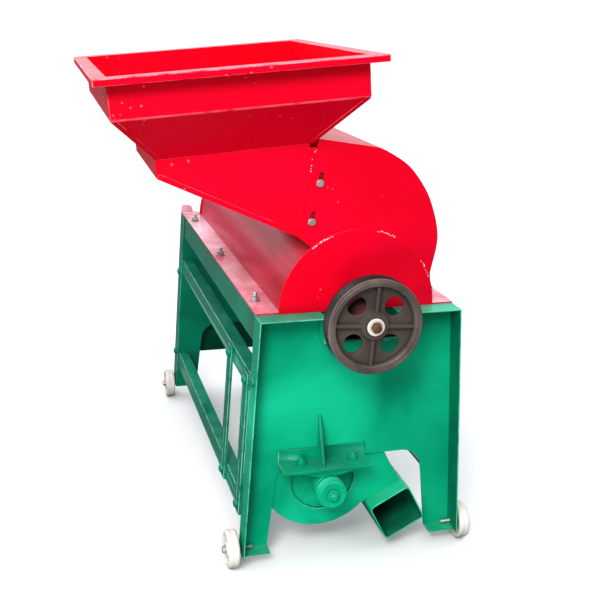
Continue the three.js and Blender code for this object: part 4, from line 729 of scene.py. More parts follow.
def turned(profile, steps=TURN_STEPS, closed=True):
    """Spins (radius, along) points in millimetres round the Y axis."""
    shape = bmesh.new()
    turns = [2 * math.pi * k / steps for k in range(steps)]
    rings = []
    for radius, along in profile:
        places = [(radius * math.cos(turn), along, radius * math.sin(turn)) for turn in turns]
        if radius == 0:
            places = [(0, along, 0)]
        rings.append([shape.verts.new(Vector(place) * MM) for place in places])
    pairs = list(zip(rings, rings[1:]))
    if closed:
        pairs.append((rings[-1], rings[0]))
    for low, high in pairs:
        for k in range(steps):
            corners = [low[k % len(low)], low[(k + 1) % len(low)],
                       high[(k + 1) % len(high)], high[k % len(high)]]
            corners = list(dict.fromkeys(corners))
            if len(corners) > 2:
                shape.faces.new(corners)
    bmesh.ops.recalc_face_normals(shape, faces=shape.faces)
    return shape


print("round pieces have", TURN_STEPS, "steps, bolts", BOLT_TURN_STEPS)

# %% [markdown]
# Turned shapes are drawn about the Y axis through the origin. Before a shape becomes a piece it is
# turned along its own axis, set at its place and, where the real thing is one casting or one set of
# bolt and nuts, joined with others. Doing this on bmesh shapes leaves no stray objects behind.

# %% Moving and joining shapes


def moved(shape, place, turn=None):
    """Turns a shape about the origin and then sets it at its place."""
    step = Matrix.Translation(place)
    bmesh.ops.transform(shape, matrix=step @ turn if turn else step, verts=shape.verts)
    return shape


def gather(shapes):
    """Joins shapes into one."""
    whole = bmesh.new()
    for shape in shapes:
        part = bpy.data.meshes.new("part")
        shape.to_mesh(part)
        shape.free()
        whole.from_mesh(part)
        bpy.data.meshes.remove(part)
    return whole


ALONG_X = Matrix.Rotation(-math.pi / 2, 4, "Z")
ALONG_MINUS_X = Matrix.Rotation(math.pi / 2, 4, "Z")
ALONG_Z = Matrix.Rotation(math.pi / 2, 4, "X")
ALONG_MINUS_Y = Matrix.Rotation(math.pi, 4, "Z")
print("shapes can be moved and joined")

# %% [markdown]
# **Wheels.** Each one is a plain moulded nylon roller with round shoulders, a shallow dish between
# hub and rim, and the faint line round its tread where the two halves of the mould met. The tread
# is a touch barrelled, which a straight cylinder would miss. Both sides are alike, so only half of
# the profile is listed and the other half mirrors it.

# %% Wheels
WHEEL_HALF_PROFILE = [
    (4.6, -11.9, 0.4), (14.4, -11.9, 1.6), (16.0, -9.4, 1.4), (28.6, -9.0, 2.0), (31.0, -11.9, 1.2),
    (36.8, -11.9, 2.4), (39.6, -8.6, 2.6), (40.0, -0.7, 0),
]
MOULD_LINE = (39.65, 0.0, 0)
wheel_mirror = [(radius, -along, fillet) for radius, along, fillet in reversed(WHEEL_HALF_PROFILE)]
wheel_profile = filleted(WHEEL_HALF_PROFILE + [MOULD_LINE] + wheel_mirror, steps=3)
wheels = sorted(node for node in frame["nodes"] if node.endswith("_wheel"))
for node in wheels:
    low, middle, high = measured(node)
    roller = moved(turned(wheel_profile), at(*middle), ALONG_X)
    add_piece(node + "_roller", roller, "white_plastic", body_of[node], [node])
print("wheels:", len(wheels))

# %% [markdown]
# **Fasteners.** A nut is a hexagon whose corners are cut back by a cone at both ends, and a stud has
# fine rings that read as a thread. Both are drawn round the Y axis and then turned into place. True
# helical threads would only cost faces at this size.

# %% Nuts
HEX_POINTS = 12
HEX_END_SHARE = 0.94
HEX_ARC_SHARE = 0.8


def hexagon(radius, start, end, cone=0.16):
    """A hexagon nut or head between two places, with its corners coned off at both ends."""
    shape = bmesh.new()
    flat = radius * math.cos(math.pi / 6)
    face = flat * HEX_END_SHARE
    drop = radius * cone
    arc_rise = drop * HEX_ARC_SHARE
    rows = [(start, face, face, 0), (start + drop, radius, flat, -arc_rise),
            (end - drop, radius, flat, arc_rise), (end, face, face, 0)]
    rings = []
    for along, corner, middle, rise in rows:
        ring = []
        for k in range(HEX_POINTS):
            angle = 2 * math.pi * k / HEX_POINTS
            reach, height = (middle, along + rise) if k % 2 else (corner, along)
            place = Vector((reach * math.cos(angle), height, reach * math.sin(angle)))
            ring.append(shape.verts.new(place * MM))
        rings.append(ring)
    for low, high in zip(rings, rings[1:]):
        for k in range(HEX_POINTS):
            after = (k + 1) % HEX_POINTS
            shape.faces.new((low[k], low[after], high[after], high[k]))
    shape.faces.new(rings[0])
    shape.faces.new(rings[-1])
    bmesh.ops.recalc_face_normals(shape, faces=shape.faces)
    return shape


print("nuts have", HEX_POINTS // 2, "sides")

# %% [markdown]
# Washers are small turned discs. A stud's profile steps in and out once in each turn of its thread.
# Most studs of the machine hold the same stack: a washer, a nut on top and a second nut below, so
# one function makes the whole set.

# %% Washers, studs and bolt sets
THREAD_PITCH = 1.5
THREAD_DEPTH = 0.55
THREAD_BEVEL = 1
STUD_RADIUS = 5
NUT_RADIUS = 9
NUT_HEIGHT = 8


def disc(radius, start, end, hole=0.0, corner=0.4):
    """A disc or a washer between two places."""
    rim = [(radius, start, corner), (radius, end, corner)]
    if hole:
        points = filleted([(hole, start, corner)] + rim + [(hole, end, corner)], steps=2)
        return turned(points, BOLT_TURN_STEPS)
    points = filleted([(0, start, 0)] + rim + [(0, end, 0)], closed=False, steps=2)
    return turned(points, BOLT_TURN_STEPS, closed=False)


def threaded(radius, start, end):
    """A threaded stud between two places, with its ends bevelled."""
    profile = [(0, start), (radius - THREAD_BEVEL, start)]
    along = start + THREAD_BEVEL
    while along < end - THREAD_BEVEL - THREAD_PITCH:
        profile += [(radius, along), (radius - THREAD_DEPTH, along + THREAD_PITCH / 2)]
        along += THREAD_PITCH
    profile += [(radius, along), (radius - THREAD_BEVEL, end), (0, end)]
    return turned(profile, BOLT_TURN_STEPS, closed=False)


def bolt_set(low, high, seat, lower_nut, nut_height=NUT_HEIGHT, washer=(11, 2)):
    """A stud with a washer and a nut on its seat and a second nut that starts at lower_nut."""
    washer_radius, washer_height = washer
    nut = seat + washer_height
    return gather([
        threaded(STUD_RADIUS, low, high), disc(washer_radius, seat, nut, STUD_RADIUS),
        hexagon(NUT_RADIUS, nut, nut + nut_height), hexagon(NUT_RADIUS, lower_nut, lower_nut + NUT_HEIGHT)])


print("thread pitch", THREAD_PITCH, "mm")

# %% [markdown]
# **Cover bolts.** Three studs on each side clamp the cover's flange to the top rails. Each nut ends
# up at an angle of its own when it is tightened, so each set is turned by a random angle that its
# name seeds. Copies with one angle would look like a pattern.

# %% Cover bolts
COVER_BASE = 523
cover_bolts = sorted(node for node in frame["nodes"] if "_cover_bolt_" in node)
for node in cover_bolts:
    low, middle, high = measured(node)
    low_end = low.z - COVER_BASE
    turn = Matrix.Rotation(random.Random(node).uniform(0, math.pi), 4, "Z")
    bolt = bolt_set(low_end, high.z - COVER_BASE, seat=GAP, lower_nut=low_end)
    bolt = moved(bolt, at(middle.x, middle.y, COVER_BASE), turn @ ALONG_Z)
    add_piece(node + "_set", bolt, "zinc", "frame", [node])
print("cover bolts:", len(cover_bolts))

# %% [markdown]
# **Axle bolts.** A hexagon head and washer hold each wheel on, a nut locks the bolt to the leg, and
# the threaded end shows on the inside of the leg above the foot plate. One set is drawn outwards
# from the leg and turned to the left or to the right.

# %% Axle bolts
AXLE_RADIUS = 4
AXLE_WASHER_RADIUS = 10
AXLE_WASHER_HEIGHT = 1.6
AXLE_HEAD_RADIUS = 8
AXLE_HEAD_HEIGHT = 6
LOCK_NUT_RADIUS = 7.4
LOCK_NUT_HEIGHT = 5
wheel_inner, wheel_outer = measured("front_right_wheel")[0].x, measured("front_right_wheel")[2].x
lock_nut_end = wheel_inner - GAP
washer_start = wheel_outer + GAP
head_start = washer_start + AXLE_WASHER_HEIGHT
axle_bolts = sorted(node for node in frame["nodes"] if node.endswith("_axle_bolt"))
for node in axle_bolts:
    low, middle, high = measured(node)
    inner_end = min(abs(low.x), abs(high.x))
    parts = [threaded(AXLE_RADIUS, inner_end, wheel_outer + THREAD_BEVEL),
             hexagon(LOCK_NUT_RADIUS, lock_nut_end - LOCK_NUT_HEIGHT, lock_nut_end),
             disc(AXLE_WASHER_RADIUS, washer_start, head_start, AXLE_RADIUS),
             hexagon(AXLE_HEAD_RADIUS, head_start, head_start + AXLE_HEAD_HEIGHT)]
    outwards = ALONG_MINUS_X if "left" in node else ALONG_X
    bolt = moved(gather(parts), at(0, middle.y, middle.z), outwards)
    add_piece(node + "_set", bolt, "zinc", "frame", [node])
print("axle bolts:", len(axle_bolts))

# %% [markdown]
# **Hopper bolts.** Two hexagon bolts on each side run in the hood's slots, so the hopper can be set
# higher or lower. The near pair comes from the CAD. The far pair is the same piece set on the far
# plate, because the hood has slots there too.

# %% Hopper bolts
HOPPER_BOLT_RADIUS = 4
HOPPER_BOLT_REACH = (-12, 4)
HOPPER_HEAD_RADIUS = 7.5
HOPPER_HEAD = (0.9, 6)
HOPPER_HEAD_CONE = 0.2
HOPPER_NUT = (-11, -6)
HOPPER_WASHER_RADIUS = 7.6
HOPPER_WASHER = (GAP, 1.1)
HOPPER_WASHER_CORNER = 0.2
HOPPER_BOLT_TURNS = {"hopper_upper_bolt": 0.35, "hopper_lower_bolt": 0.1}
hood_near_face = measured("hood_near_plate")[0].y
hood_far_face = measured("hood_far_plate")[2].y
for node, lean in HOPPER_BOLT_TURNS.items():
    middle = measured(node)[1]
    turn = Matrix.Rotation(lean, 4, "Y")
    sides = (("near", hood_near_face, turn @ ALONG_MINUS_Y, [node]), ("far", hood_far_face, turn, []))
    for side, face, outwards, nodes in sides:
        parts = [threaded(HOPPER_BOLT_RADIUS, *HOPPER_BOLT_REACH),
                 hexagon(HOPPER_HEAD_RADIUS, *HOPPER_HEAD, HOPPER_HEAD_CONE),
                 disc(HOPPER_WASHER_RADIUS, *HOPPER_WASHER, HOPPER_BOLT_RADIUS, HOPPER_WASHER_CORNER),
                 hexagon(HOPPER_HEAD_RADIUS, *HOPPER_NUT)]
        bolt = moved(gather(parts), at(middle.x, face, middle.z), outwards)
        add_piece(f"{node}_{side}_set", bolt, "zinc", "hopper", nodes)
print("hopper bolts:", 2 * len(HOPPER_BOLT_TURNS))

# %% [markdown]
# **Motor bar bolts.** Each end of a slotted bar is held by a domed bolt painted over with the frame.
# The bolts lean with the frame's side, whose angle follows from how much wider the frame is at its
# feet than at its top.

# %% Motor bar bolts
FRAME_HALF_TOP = 210
LEAN = math.atan((FRAME_HALF_FOOT - FRAME_HALF_TOP) / FRAME_HEIGHT)
DOME = [(0, 0), (10.5, 0), (10.5, 1.2), (9.4, 3.9), (7.2, 5.8), (4.2, 6.8), (0, 7.2)]
DOME_PROUD = 7
DOME_DROP = 0.6
BAR_STUD_START = -24.5
BAR_NUT = (-19, -11)
bar_bolts = sorted(node for node in frame["nodes"] if "_bar_" in node and node.endswith("_bolt"))
for node in bar_bolts:
    low, middle, high = measured(node)
    parts = [turned(DOME, BOLT_TURN_STEPS, closed=False), threaded(STUD_RADIUS, BAR_STUD_START, 0),
             hexagon(NUT_RADIUS, *BAR_NUT)]
    turn = Matrix.Rotation(LEAN, 4, "Y") @ ALONG_MINUS_X
    bolt = moved(gather(parts), at(low.x + DOME_PROUD, middle.y, middle.z - DOME_DROP), turn)
    # The bolts take the rails' green, darkened as painted shade.
    add_piece(node + "_set", bolt, "green_paint", "frame", [node], paint=shaded_green_paint)
print("side leans", round(math.degrees(LEAN), 2), "degrees")

# %% [markdown]
# **Rail bolts.** Small painted domes stand out of the left legs where the rails are bolted on. The
# photograph shows three. The other side gets the same ones, since its rails need them as well.

# %% Rail bolts
RAIL_BOLTS = ((976, 351), (976, 106), (24, 389))
DOME_LIFT = 0.1
domes = []
for y, z in RAIL_BOLTS:
    outward = FRAME_HALF_TOP + (FRAME_HEIGHT - z) * math.tan(LEAN) + DOME_LIFT
    for side, along in ((-1, ALONG_MINUS_X), (1, ALONG_X)):
        turn = Matrix.Rotation(-side * LEAN, 4, "Y") @ along
        dome = turned(DOME, BOLT_TURN_STEPS, closed=False)
        domes.append(moved(dome, at(side * outward, y, z), turn))
# The domes take the rails' green, darkened as painted shade.
add_piece("rail_bolts", gather(domes), "green_paint", "frame", paint=shaded_green_paint)
print("rail bolts:", len(domes))

# %% [markdown]
# Flat stock with holes is cut from an outline. Cutting holes with Boolean modifiers would work, but
# a filled 2D curve does it more cleanly: its first spline is the edge, the others are holes, and its
# bevel eases both edges at once. It's turned into a mesh straight away, so that the piece can be
# joined to others.

# %% Flat stock
SAME_CUT = 0.002 * MM


def plate(outlines, start, end, corner=0.5, steps=1):
    """Stock between two places along Y, from outlines of (x, z) points: its edge and then its holes."""
    curve = bpy.data.curves.new("stock", "CURVE")
    curve.dimensions = "2D"
    curve.fill_mode = "BOTH"
    curve.extrude = ((end - start) / 2 - corner) * MM
    curve.bevel_depth = corner * MM
    curve.bevel_resolution = steps
    curve.offset = -corner * MM
    for points in outlines:
        line = curve.splines.new("POLY")
        line.points.add(len(points) - 1)
        for point, (across, up) in zip(line.points, points):
            point.co = (across * MM, up * MM, 0, 1)
        line.use_cyclic_u = True
    holder = bpy.data.objects.new("stock", curve)
    mesh = bpy.data.meshes.new_from_object(holder)
    shape = bmesh.new()
    shape.from_mesh(mesh)
    bpy.data.objects.remove(holder)
    bpy.data.curves.remove(curve)
    bpy.data.meshes.remove(mesh)
    bmesh.ops.remove_doubles(shape, verts=shape.verts, dist=SAME_CUT)
    moved(shape, (0, (start + end) / 2 * MM, 0), ALONG_Z)
    bmesh.ops.recalc_face_normals(shape, faces=shape.faces)
    return shape


print("stock helper ready")

# %% [markdown]
# Outlines are drawn from a few kinds of line: arcs, full circles, rectangles and the edge of a sheet
# that is bent along a path. Each is a short function of its sizes, so that no outline needs a long
# list of points.

# %% Lines for outlines


def arc(x, z, radius, start, end, steps):
    """Points on an arc, with its angles in degrees from +X towards +Z."""
    angles = [math.radians(start + (end - start) * k / steps) for k in range(steps + 1)]
    return [(x + radius * math.cos(a), z + radius * math.sin(a)) for a in angles]


def circle(x, z, radius, steps=48):
    return arc(x, z, radius, 0, 360, steps)[:-1]


def rectangle(left, right, low, high):
    return [(left, low), (left, high), (right, high), (right, low)]


def ribbon(path, thickness):
    """The closed outline of sheet of an even thickness on the right-hand side of a path."""
    inner = []
    for index, (x, z) in enumerate(path):
        x0, z0 = path[max(index - 1, 0)]
        x1, z1 = path[min(index + 1, len(path) - 1)]
        along = Vector((x1 - x0, z1 - z0)).normalized()
        inner.append((x + along.y * thickness, z - along.x * thickness))
    return path + inner[::-1]


print("outline lines ready")

# %% [markdown]
# **Drum pulley.** A sand casting: a grooved rim, a web with four round holes, four low ribs and a
# long hub, all with the round inner corners that a mould needs to let go. It could be modelled as
# one mesh, but rim and hub are turned, the web is cut from a plate and the ribs are small rounded
# bars, because each is simple to draw that way and the joints between them don't show.

# %% Profiles of the pulley
FRONT_RIM = [
    (79.5, -58.6, 0), (79.5, -66, 1.5), (81.5, -70, 1.6), (89.5, -70.4, 0.8), (90.6, -69.4, 0.5),
    (91.6, -70.2, 0.8), (96, -69.0, 1.6), (96, -64.5, 1.2), (85.2, -58.6, 0),
]
GROOVE = [
    (79.5, -58.5, 0), (85, -58.5, 0), (85, -47.5, 1.5), (96, -41.5, 1.2), (96, -36.6, 1.4),
    (81.5, -36, 1.6), (79.5, -40, 1.5),
]
HUB = [
    (17.7, -66, 0.5), (27.4, -66, 2.0), (28.6, -62, 1.2), (31.6, -55.6, 3.0), (31.6, -48.4, 3.0),
    (26.5, -44, 2.0), (26, 1, 1.2), (24.5, 2, 0.8), (17.7, 2, 0.5),
]
RIB = [(-4.4, 0, 0), (-3.6, 9.4, 1.2), (-2.2, 10.4, 1.0), (2.2, 10.4, 1.0), (3.6, 9.4, 1.2), (4.4, 0, 0)]
print("rib height:", max(height for across, height, fillet in RIB), "mm")

# %% [markdown]
# The casting is gathered from these profiles. Its holes lie halfway between the ribs, so both follow
# the same four quarter turns. The turned rim and the groove, darkened as painted shade, are pieces of
# their own, because each has its own finish.

# %% Drum pulley
QUARTERS = 4
RIB_TURN = 4
RIB_REACH = (28.2, 81)
RIB_SINK = 0.4
RIB_EASED = 0.3
WEB_FRONT = -56
WEB_BACK = -48
WEB_RADIUS = 80.5
WEB_BORE = 24
WEB_EASED = 1.6
HOLE_PATH = 53.5
HOLE_RADIUS = 19.3
RIB_UPRIGHT = Matrix(((0, 1, 0, 0), (0, 0, -1, 0), (-1, 0, 0, 0), (0, 0, 0, 1)))
drum_centre = at(0, 0, DRUM_HEIGHT)
quarters = [RIB_TURN + 360 / QUARTERS * k for k in range(QUARTERS)]
web_outlines = [circle(0, 0, WEB_RADIUS, steps=96), circle(0, 0, WEB_BORE)]
ribs = []
for quarter in quarters:
    angle = math.radians(-quarter - 180 / QUARTERS)
    web_outlines.append(circle(HOLE_PATH * math.cos(angle), HOLE_PATH * math.sin(angle), HOLE_RADIUS))
    rib = plate([filleted(RIB, closed=False)], *RIB_REACH, corner=RIB_EASED)
    on_web = Matrix.Translation((0, (WEB_FRONT + RIB_SINK) * MM, 0))
    ribs.append(moved(rib, Vector(), Matrix.Rotation(math.radians(quarter), 4, "Y") @ on_web @ RIB_UPRIGHT))
web = plate(web_outlines, WEB_FRONT, WEB_BACK, corner=WEB_EASED, steps=3)
casting = moved(gather([turned(filleted(HUB), steps=64), web] + ribs), drum_centre)
add_piece("drum_pulley_casting", casting, "cast_iron", "drum", ["drum_pulley"],
          weighted=True, paint=worn_iron)
# The groove's near-black iron is painted shade.
for title, profile, iron in (("rim", FRONT_RIM, turned_iron), ("groove", GROOVE, cast_iron)):
    ring = moved(turned(filleted(profile), steps=96), drum_centre)
    add_piece("drum_pulley_" + title, ring, "cast_iron", "drum", weighted=True, paint=iron)
print("pulley ribs:", len(ribs))

# %% [markdown]
# **End bolt and washer.** The pulley is held by a browned hexagon over a pale thick washer, with a
# little thread beyond. The washer is two discs, so that its front has a shallow dish.

# %% End bolt and washer
WASHER_BACK = 66.3
WASHER_FRONT = 70
DISH_FRONT = 68.6
WASHER_RADIUS = 17.6
DISH_RADIUS = 12.5
WASHER_HOLE = 11.5
DISH_HOLE = 6
END_BOLT_RADIUS = 10.8
END_BOLT_FRONT = 77.3
END_THREAD_RADIUS = 5.5
END_THREAD = (77.0, 77.9)
end_washer = gather([disc(WASHER_RADIUS, WASHER_BACK, WASHER_FRONT, WASHER_HOLE, corner=0.8),
                     disc(DISH_RADIUS, WASHER_BACK, DISH_FRONT, DISH_HOLE)])
end_washer = moved(end_washer, drum_centre, ALONG_MINUS_Y)
add_piece("pulley_washer", end_washer, "white_plastic", "drum", ["pulley_bolt"])
end_bolt = gather([hexagon(END_BOLT_RADIUS, DISH_FRONT, END_BOLT_FRONT, cone=0.14),
                   disc(END_THREAD_RADIUS, *END_THREAD, corner=0.3)])
end_bolt = moved(end_bolt, drum_centre, ALONG_MINUS_Y)
add_piece("pulley_end_bolt", end_bolt, "brown_steel", "drum", ["pulley_bolt"])
print("washer sticks out", round(WASHER_FRONT - WASHER_BACK, 1), "mm")

# %% [markdown]
# **Bearings.** A pillow block is a cast foot and a round housing in one, with a steel insert that
# stands a little proud. The casting is cut from one outline with generous easing, which reads as a
# sand casting. The insert is three turned rings: outer ring, dark seal and inner ring with its
# collar.

# %% Bearing shapes
BORE_SHARE = 0.72
FOOT_EDGE = 11
FOOT_TOP = 15
FOOT_SLOPE = 22
CROWN_LOWEST = 18
CROWN_WIDEST_SHARE = 0.86
RING_SHARE = 0.8
RING_CROWN = 0.6
SEAL_SHARE = 0.83
SEAL_START = 4
SEAL_SINK = 2
SEAL_DISH = 3
COLLAR = 5
COLLAR_PROUD = 4


def pillow_block(housing, low, centre, half, depth):
    """A block's casting about Y = 0, its foot at low and its bore at centre."""
    start = -math.degrees(math.asin(min((centre - low - CROWN_LOWEST) / housing, CROWN_WIDEST_SHARE)))
    crown = [(x, z, 0) for x, z in arc(0, centre, housing, start, 180 - start, steps=40)]
    edge, top, slope = low + FOOT_EDGE, low + FOOT_TOP, half - FOOT_SLOPE
    foot = [(-half, low, 2.5), (half, low, 2.5), (half, edge, 4), (slope, top, 9)]
    points = filleted(foot + crown + [(-slope, top, 9), (-half, edge, 4)])
    bore = circle(0, centre, housing * BORE_SHARE, steps=40)
    return plate([points, bore], -depth / 2, depth / 2, corner=2.4, steps=3)


def bearing(radius, shaft, depth):
    """An insert bearing about Y = 0: outer ring, seal and the longer inner ring with its collar."""
    half = depth / 2
    ring, crown = radius * RING_SHARE, radius + RING_CROWN
    seal, inner = radius * SEAL_SHARE, shaft + SEAL_START
    collar, end = shaft + COLLAR, half + COLLAR_PROUD
    rows = (
        [(ring, -half, 1), (radius, -half, 1), (crown, 0, 4), (radius, half, 1), (ring, half, 1)],
        [(inner, SEAL_SINK - half, 1), (seal, SEAL_DISH - half, 0.6),
         (seal, half - SEAL_DISH, 0.6), (inner, half - SEAL_SINK, 1)],
        [(shaft, -end, 0.6), (collar, -end, 0.8), (collar, end, 0.8), (shaft, end, 0.6)],
    )
    return gather([turned(filleted(row), steps=56) for row in rows])


print("bearing shapes ready")

# %% [markdown]
# **Pillow blocks.** One block carries each end of the drum's shaft, with a grease nipple on top and
# two bolts down through its seat. Their places and sizes are measured on the CAD blocks.

# %% Pillow blocks
DRUM_BEARING = {"radius": 27.3, "shaft": 17.7, "depth": 30}
BLOCK_SLIMMING = 2
BLOCK_BOLTS = (("left", -56), ("right", 56))
BLOCK_BOLT_STACK = {"low": -16, "high": 26, "seat": 14.2, "lower_nut": -12, "nut_height": 7.8}
GREASE_NIPPLE = [(0, -2), (3.4, -2), (3.4, 2), (2.2, 3), (2.2, 5), (3, 6), (2.8, 7.5), (1.6, 9), (0, 9.4)]
for end in ("front", "rear"):
    low, middle, high = measured(end + "_pillow_block")
    housing = high.z - DRUM_HEIGHT
    block = pillow_block(housing, low.z, DRUM_HEIGHT, high.x, high.y - low.y - BLOCK_SLIMMING)
    block = moved(block, at(0, middle.y, 0))
    add_piece(end + "_block_casting", block, "cast_iron", "frame", [end + "_pillow_block"], weighted=True)
    insert = moved(bearing(**DRUM_BEARING), at(0, middle.y, DRUM_HEIGHT))
    add_piece(end + "_bearing_insert", insert, "bare_steel", "frame")
    nipple = turned(GREASE_NIPPLE, BOLT_TURN_STEPS, closed=False)
    nipple = moved(nipple, at(0, middle.y, DRUM_HEIGHT + housing), ALONG_Z)
    add_piece(end + "_grease_nipple", nipple, "zinc", "frame")
    for side, x in BLOCK_BOLTS:
        bolt = moved(bolt_set(**BLOCK_BOLT_STACK), at(x, middle.y, low.z), ALONG_Z)
        add_piece(f"{end}_block_{side}_bolt", bolt, "zinc", "frame")
print("blocks on seats at", round(low.z, 1), "mm")

# %% [markdown]
# **Fan pulley and its nut.** The small pulley is two pressed cheeks with a groove between them,
# painted over with the fan together with its nut. It is turned in one piece.

# %% Fan pulley and nut
FAN_PULLEY = [
    (12.3, -20.6, 0.4), (27.5, -22, 3.0), (30.6, -20.6, 1.4), (30.8, -17.8, 1.2), (23, -12.5, 1.6),
    (23, -8.5, 1.6), (31.6, -3.6, 1.2), (31.8, 0.6, 1.2), (29, 2, 1.2), (12.3, 2, 0.4),
]
FAN_STUD_RADIUS = 6
FAN_WASHER_RADIUS = 13.6
FAN_WASHER_HEIGHT = 2
FAN_NUT_RADIUS = 8.6
FAN_NUT_HEIGHT = 6.9
FAN_STUD_PROUD = 2.8
FAN_NUT_TURN = 0.3
fan_middle = measured("fan_pulley")[1]
fan_centre = at(fan_middle.x, 0, fan_middle.z)
pulley = moved(turned(filleted(FAN_PULLEY)), fan_centre)
add_piece("fan_pulley_cheeks", pulley, "green_paint", "fan", ["fan_pulley"])
washer_start = -measured("fan_pulley_nut")[2].y
nut_start = washer_start + FAN_WASHER_HEIGHT
nut_end = nut_start + FAN_NUT_HEIGHT
nut_parts = [disc(FAN_WASHER_RADIUS, washer_start, nut_start, FAN_STUD_RADIUS, corner=0.8),
             hexagon(FAN_NUT_RADIUS, nut_start, nut_end, cone=0.2),
             threaded(FAN_STUD_RADIUS, washer_start, nut_end + FAN_STUD_PROUD)]
nut = moved(gather(nut_parts), fan_centre, Matrix.Rotation(FAN_NUT_TURN, 4, "Y") @ ALONG_MINUS_Y)
add_piece("fan_pulley_nut_set", nut, "green_paint", "fan", ["fan_pulley_nut"])
print("fan axis at", [round(v, 1) for v in (fan_middle.x, fan_middle.z)])

# %% [markdown]
# **Fan bearing.** It is a smaller block of the same kind, hung upside down under its bracket with
# two bolts. The same function makes it, and half a turn about Y hangs it up.

# %% Fan bearing block
FAN_BEARING = {"radius": 21.5, "shaft": 12.2, "depth": 28}
BRACKET_TOP = 196.3
FAN_BOLT_TURNS = {"fan_bearing_left_bolt": 0.4, "fan_bearing_right_bolt": 0.9}
FAN_BOLT_STACK = {"nut_height": 7.4, "washer": (10.5, 1.6)}
low, middle, high = measured("fan_bearing_block")
depth = high.y - low.y - BLOCK_SLIMMING
fan_block = pillow_block(fan_middle.z - low.z, 0, high.z - fan_middle.z, (high.x - low.x) / 2, depth)
fan_block = moved(fan_block, at(middle.x, middle.y, high.z), Matrix.Rotation(math.pi, 4, "Y"))
add_piece("fan_block_casting", fan_block, "green_paint", "frame", ["fan_bearing_block"], weighted=True)
fan_insert = moved(bearing(**FAN_BEARING), at(middle.x, middle.y, fan_middle.z))
add_piece("fan_bearing_insert", fan_insert, "bare_steel", "frame")
for node, turn in FAN_BOLT_TURNS.items():
    low, middle, high = measured(node)
    low_end = low.z - BRACKET_TOP
    bolt = bolt_set(low_end, high.z - BRACKET_TOP, seat=0, lower_nut=low_end, **FAN_BOLT_STACK)
    bolt = moved(bolt, at(middle.x, middle.y, BRACKET_TOP), Matrix.Rotation(turn, 4, "Z") @ ALONG_Z)
    # The bolts take the bracket's green, darkened as painted half shade.
    add_piece(node + "_set", bolt, "green_paint", "frame", [node], paint=half_shaded_green_paint)
print("fan bearing bolts:", len(FAN_BOLT_TURNS))

# %% [markdown]
# **Hood.** The hood's two side plates follow one crown, and the thin sheet wrapped over them follows
# it too. The CAD draws the crown with straight steps. A subdivided mesh would round it but also
# shrink it, so here a Catmull-Rom curve runs through the same points.

# %% The hood's crown
COVER_RADIUS = 160
HOOD_HEIGHT = 340
CROWN_SHARES = [
    (0.156, 0.95), (0.24, 0.94), (0.42, 0.896), (0.594, 0.84), (0.745, 0.761), (0.875, 0.667),
    (0.96, 0.572), (1.019, 0.476), (1.04, 0.4), (1.025, 0.326), (0.99, 0.245), (0.963, 0.179),
]
LEFT_SHARES = [(-0.781, 0.44), (-0.556, 1)]


def hood_point(shares):
    """A point of the hood, given as shares of the cover's radius and of the hood's height."""
    return (shares[0] * COVER_RADIUS, COVER_BASE + shares[1] * HOOD_HEIGHT)


def through(points, steps=4):
    """A smooth Catmull-Rom line through points, with its ends kept."""
    ends = [points[0]] + points + [points[-1]]
    line = []
    for a, b, c, d in zip(ends, ends[1:], ends[2:], ends[3:]):
        for step in range(steps):
            t = step / steps
            line.append(tuple(0.5 * (2 * q + (r - p) * t + (2 * p - 5 * q + 4 * r - s) * t * t
                                     + (3 * q - p - 3 * r + s) * t ** 3) for p, q, r, s in zip(a, b, c, d)))
    return line + [points[-1]]


crown = through([hood_point(shares) for shares in CROWN_SHARES])
left_edge = [hood_point(shares) for shares in LEFT_SHARES]
print("crown points:", len(crown))

# %% [markdown]
# Each side plate is one outline: the straight left edge, the crown, and the arc where the plate sits
# on the round cover. Two slots are cut in it for the hopper's bolts. The bolts sit at their lower
# ends, and the slots run up from there by the way the hopper can slide.

# %% Hood plates
HOOD_TILT = 10.7
SLOT_HALF = 4.4
SLOT_TRAVEL = 16.5
BOLT_SHARES = [(-0.531, 0.7515), (-0.623, 0.5306)]
SEAT_CLEARANCE = 0.4
SEAT_ANGLES = (7.2, 127.2)
slots = []
for x, z in (hood_point(shares) for shares in BOLT_SHARES):
    tilt = math.radians(HOOD_TILT)
    far_x, far_z = x + SLOT_TRAVEL * math.sin(tilt), z + SLOT_TRAVEL * math.cos(tilt)
    slots.append(arc(far_x, far_z, SLOT_HALF, -HOOD_TILT, 180 - HOOD_TILT, steps=10)
                 + arc(x, z, SLOT_HALF, 180 - HOOD_TILT, 360 - HOOD_TILT, steps=10))
seat_line = arc(0, COVER_BASE, COVER_RADIUS + SEAT_CLEARANCE, *SEAT_ANGLES, steps=60)
hood_outline = left_edge + crown + seat_line
for node in ("hood_near_plate", "hood_far_plate"):
    low, middle, high = measured(node)
    hood_plate = moved(plate([hood_outline] + slots, low.y, high.y, steps=2), zero)
    add_piece(node + "_cut", hood_plate, "red_paint", "frame", [node], weighted=True)
print("slots:", len(slots), "of", SLOT_TRAVEL, "mm travel")

# %% [markdown]
# The wrapped sheet is bent, not cut, so it is drawn as a ribbon along the crown. It starts at the
# hood's upper left corner and comes down beside the cover.

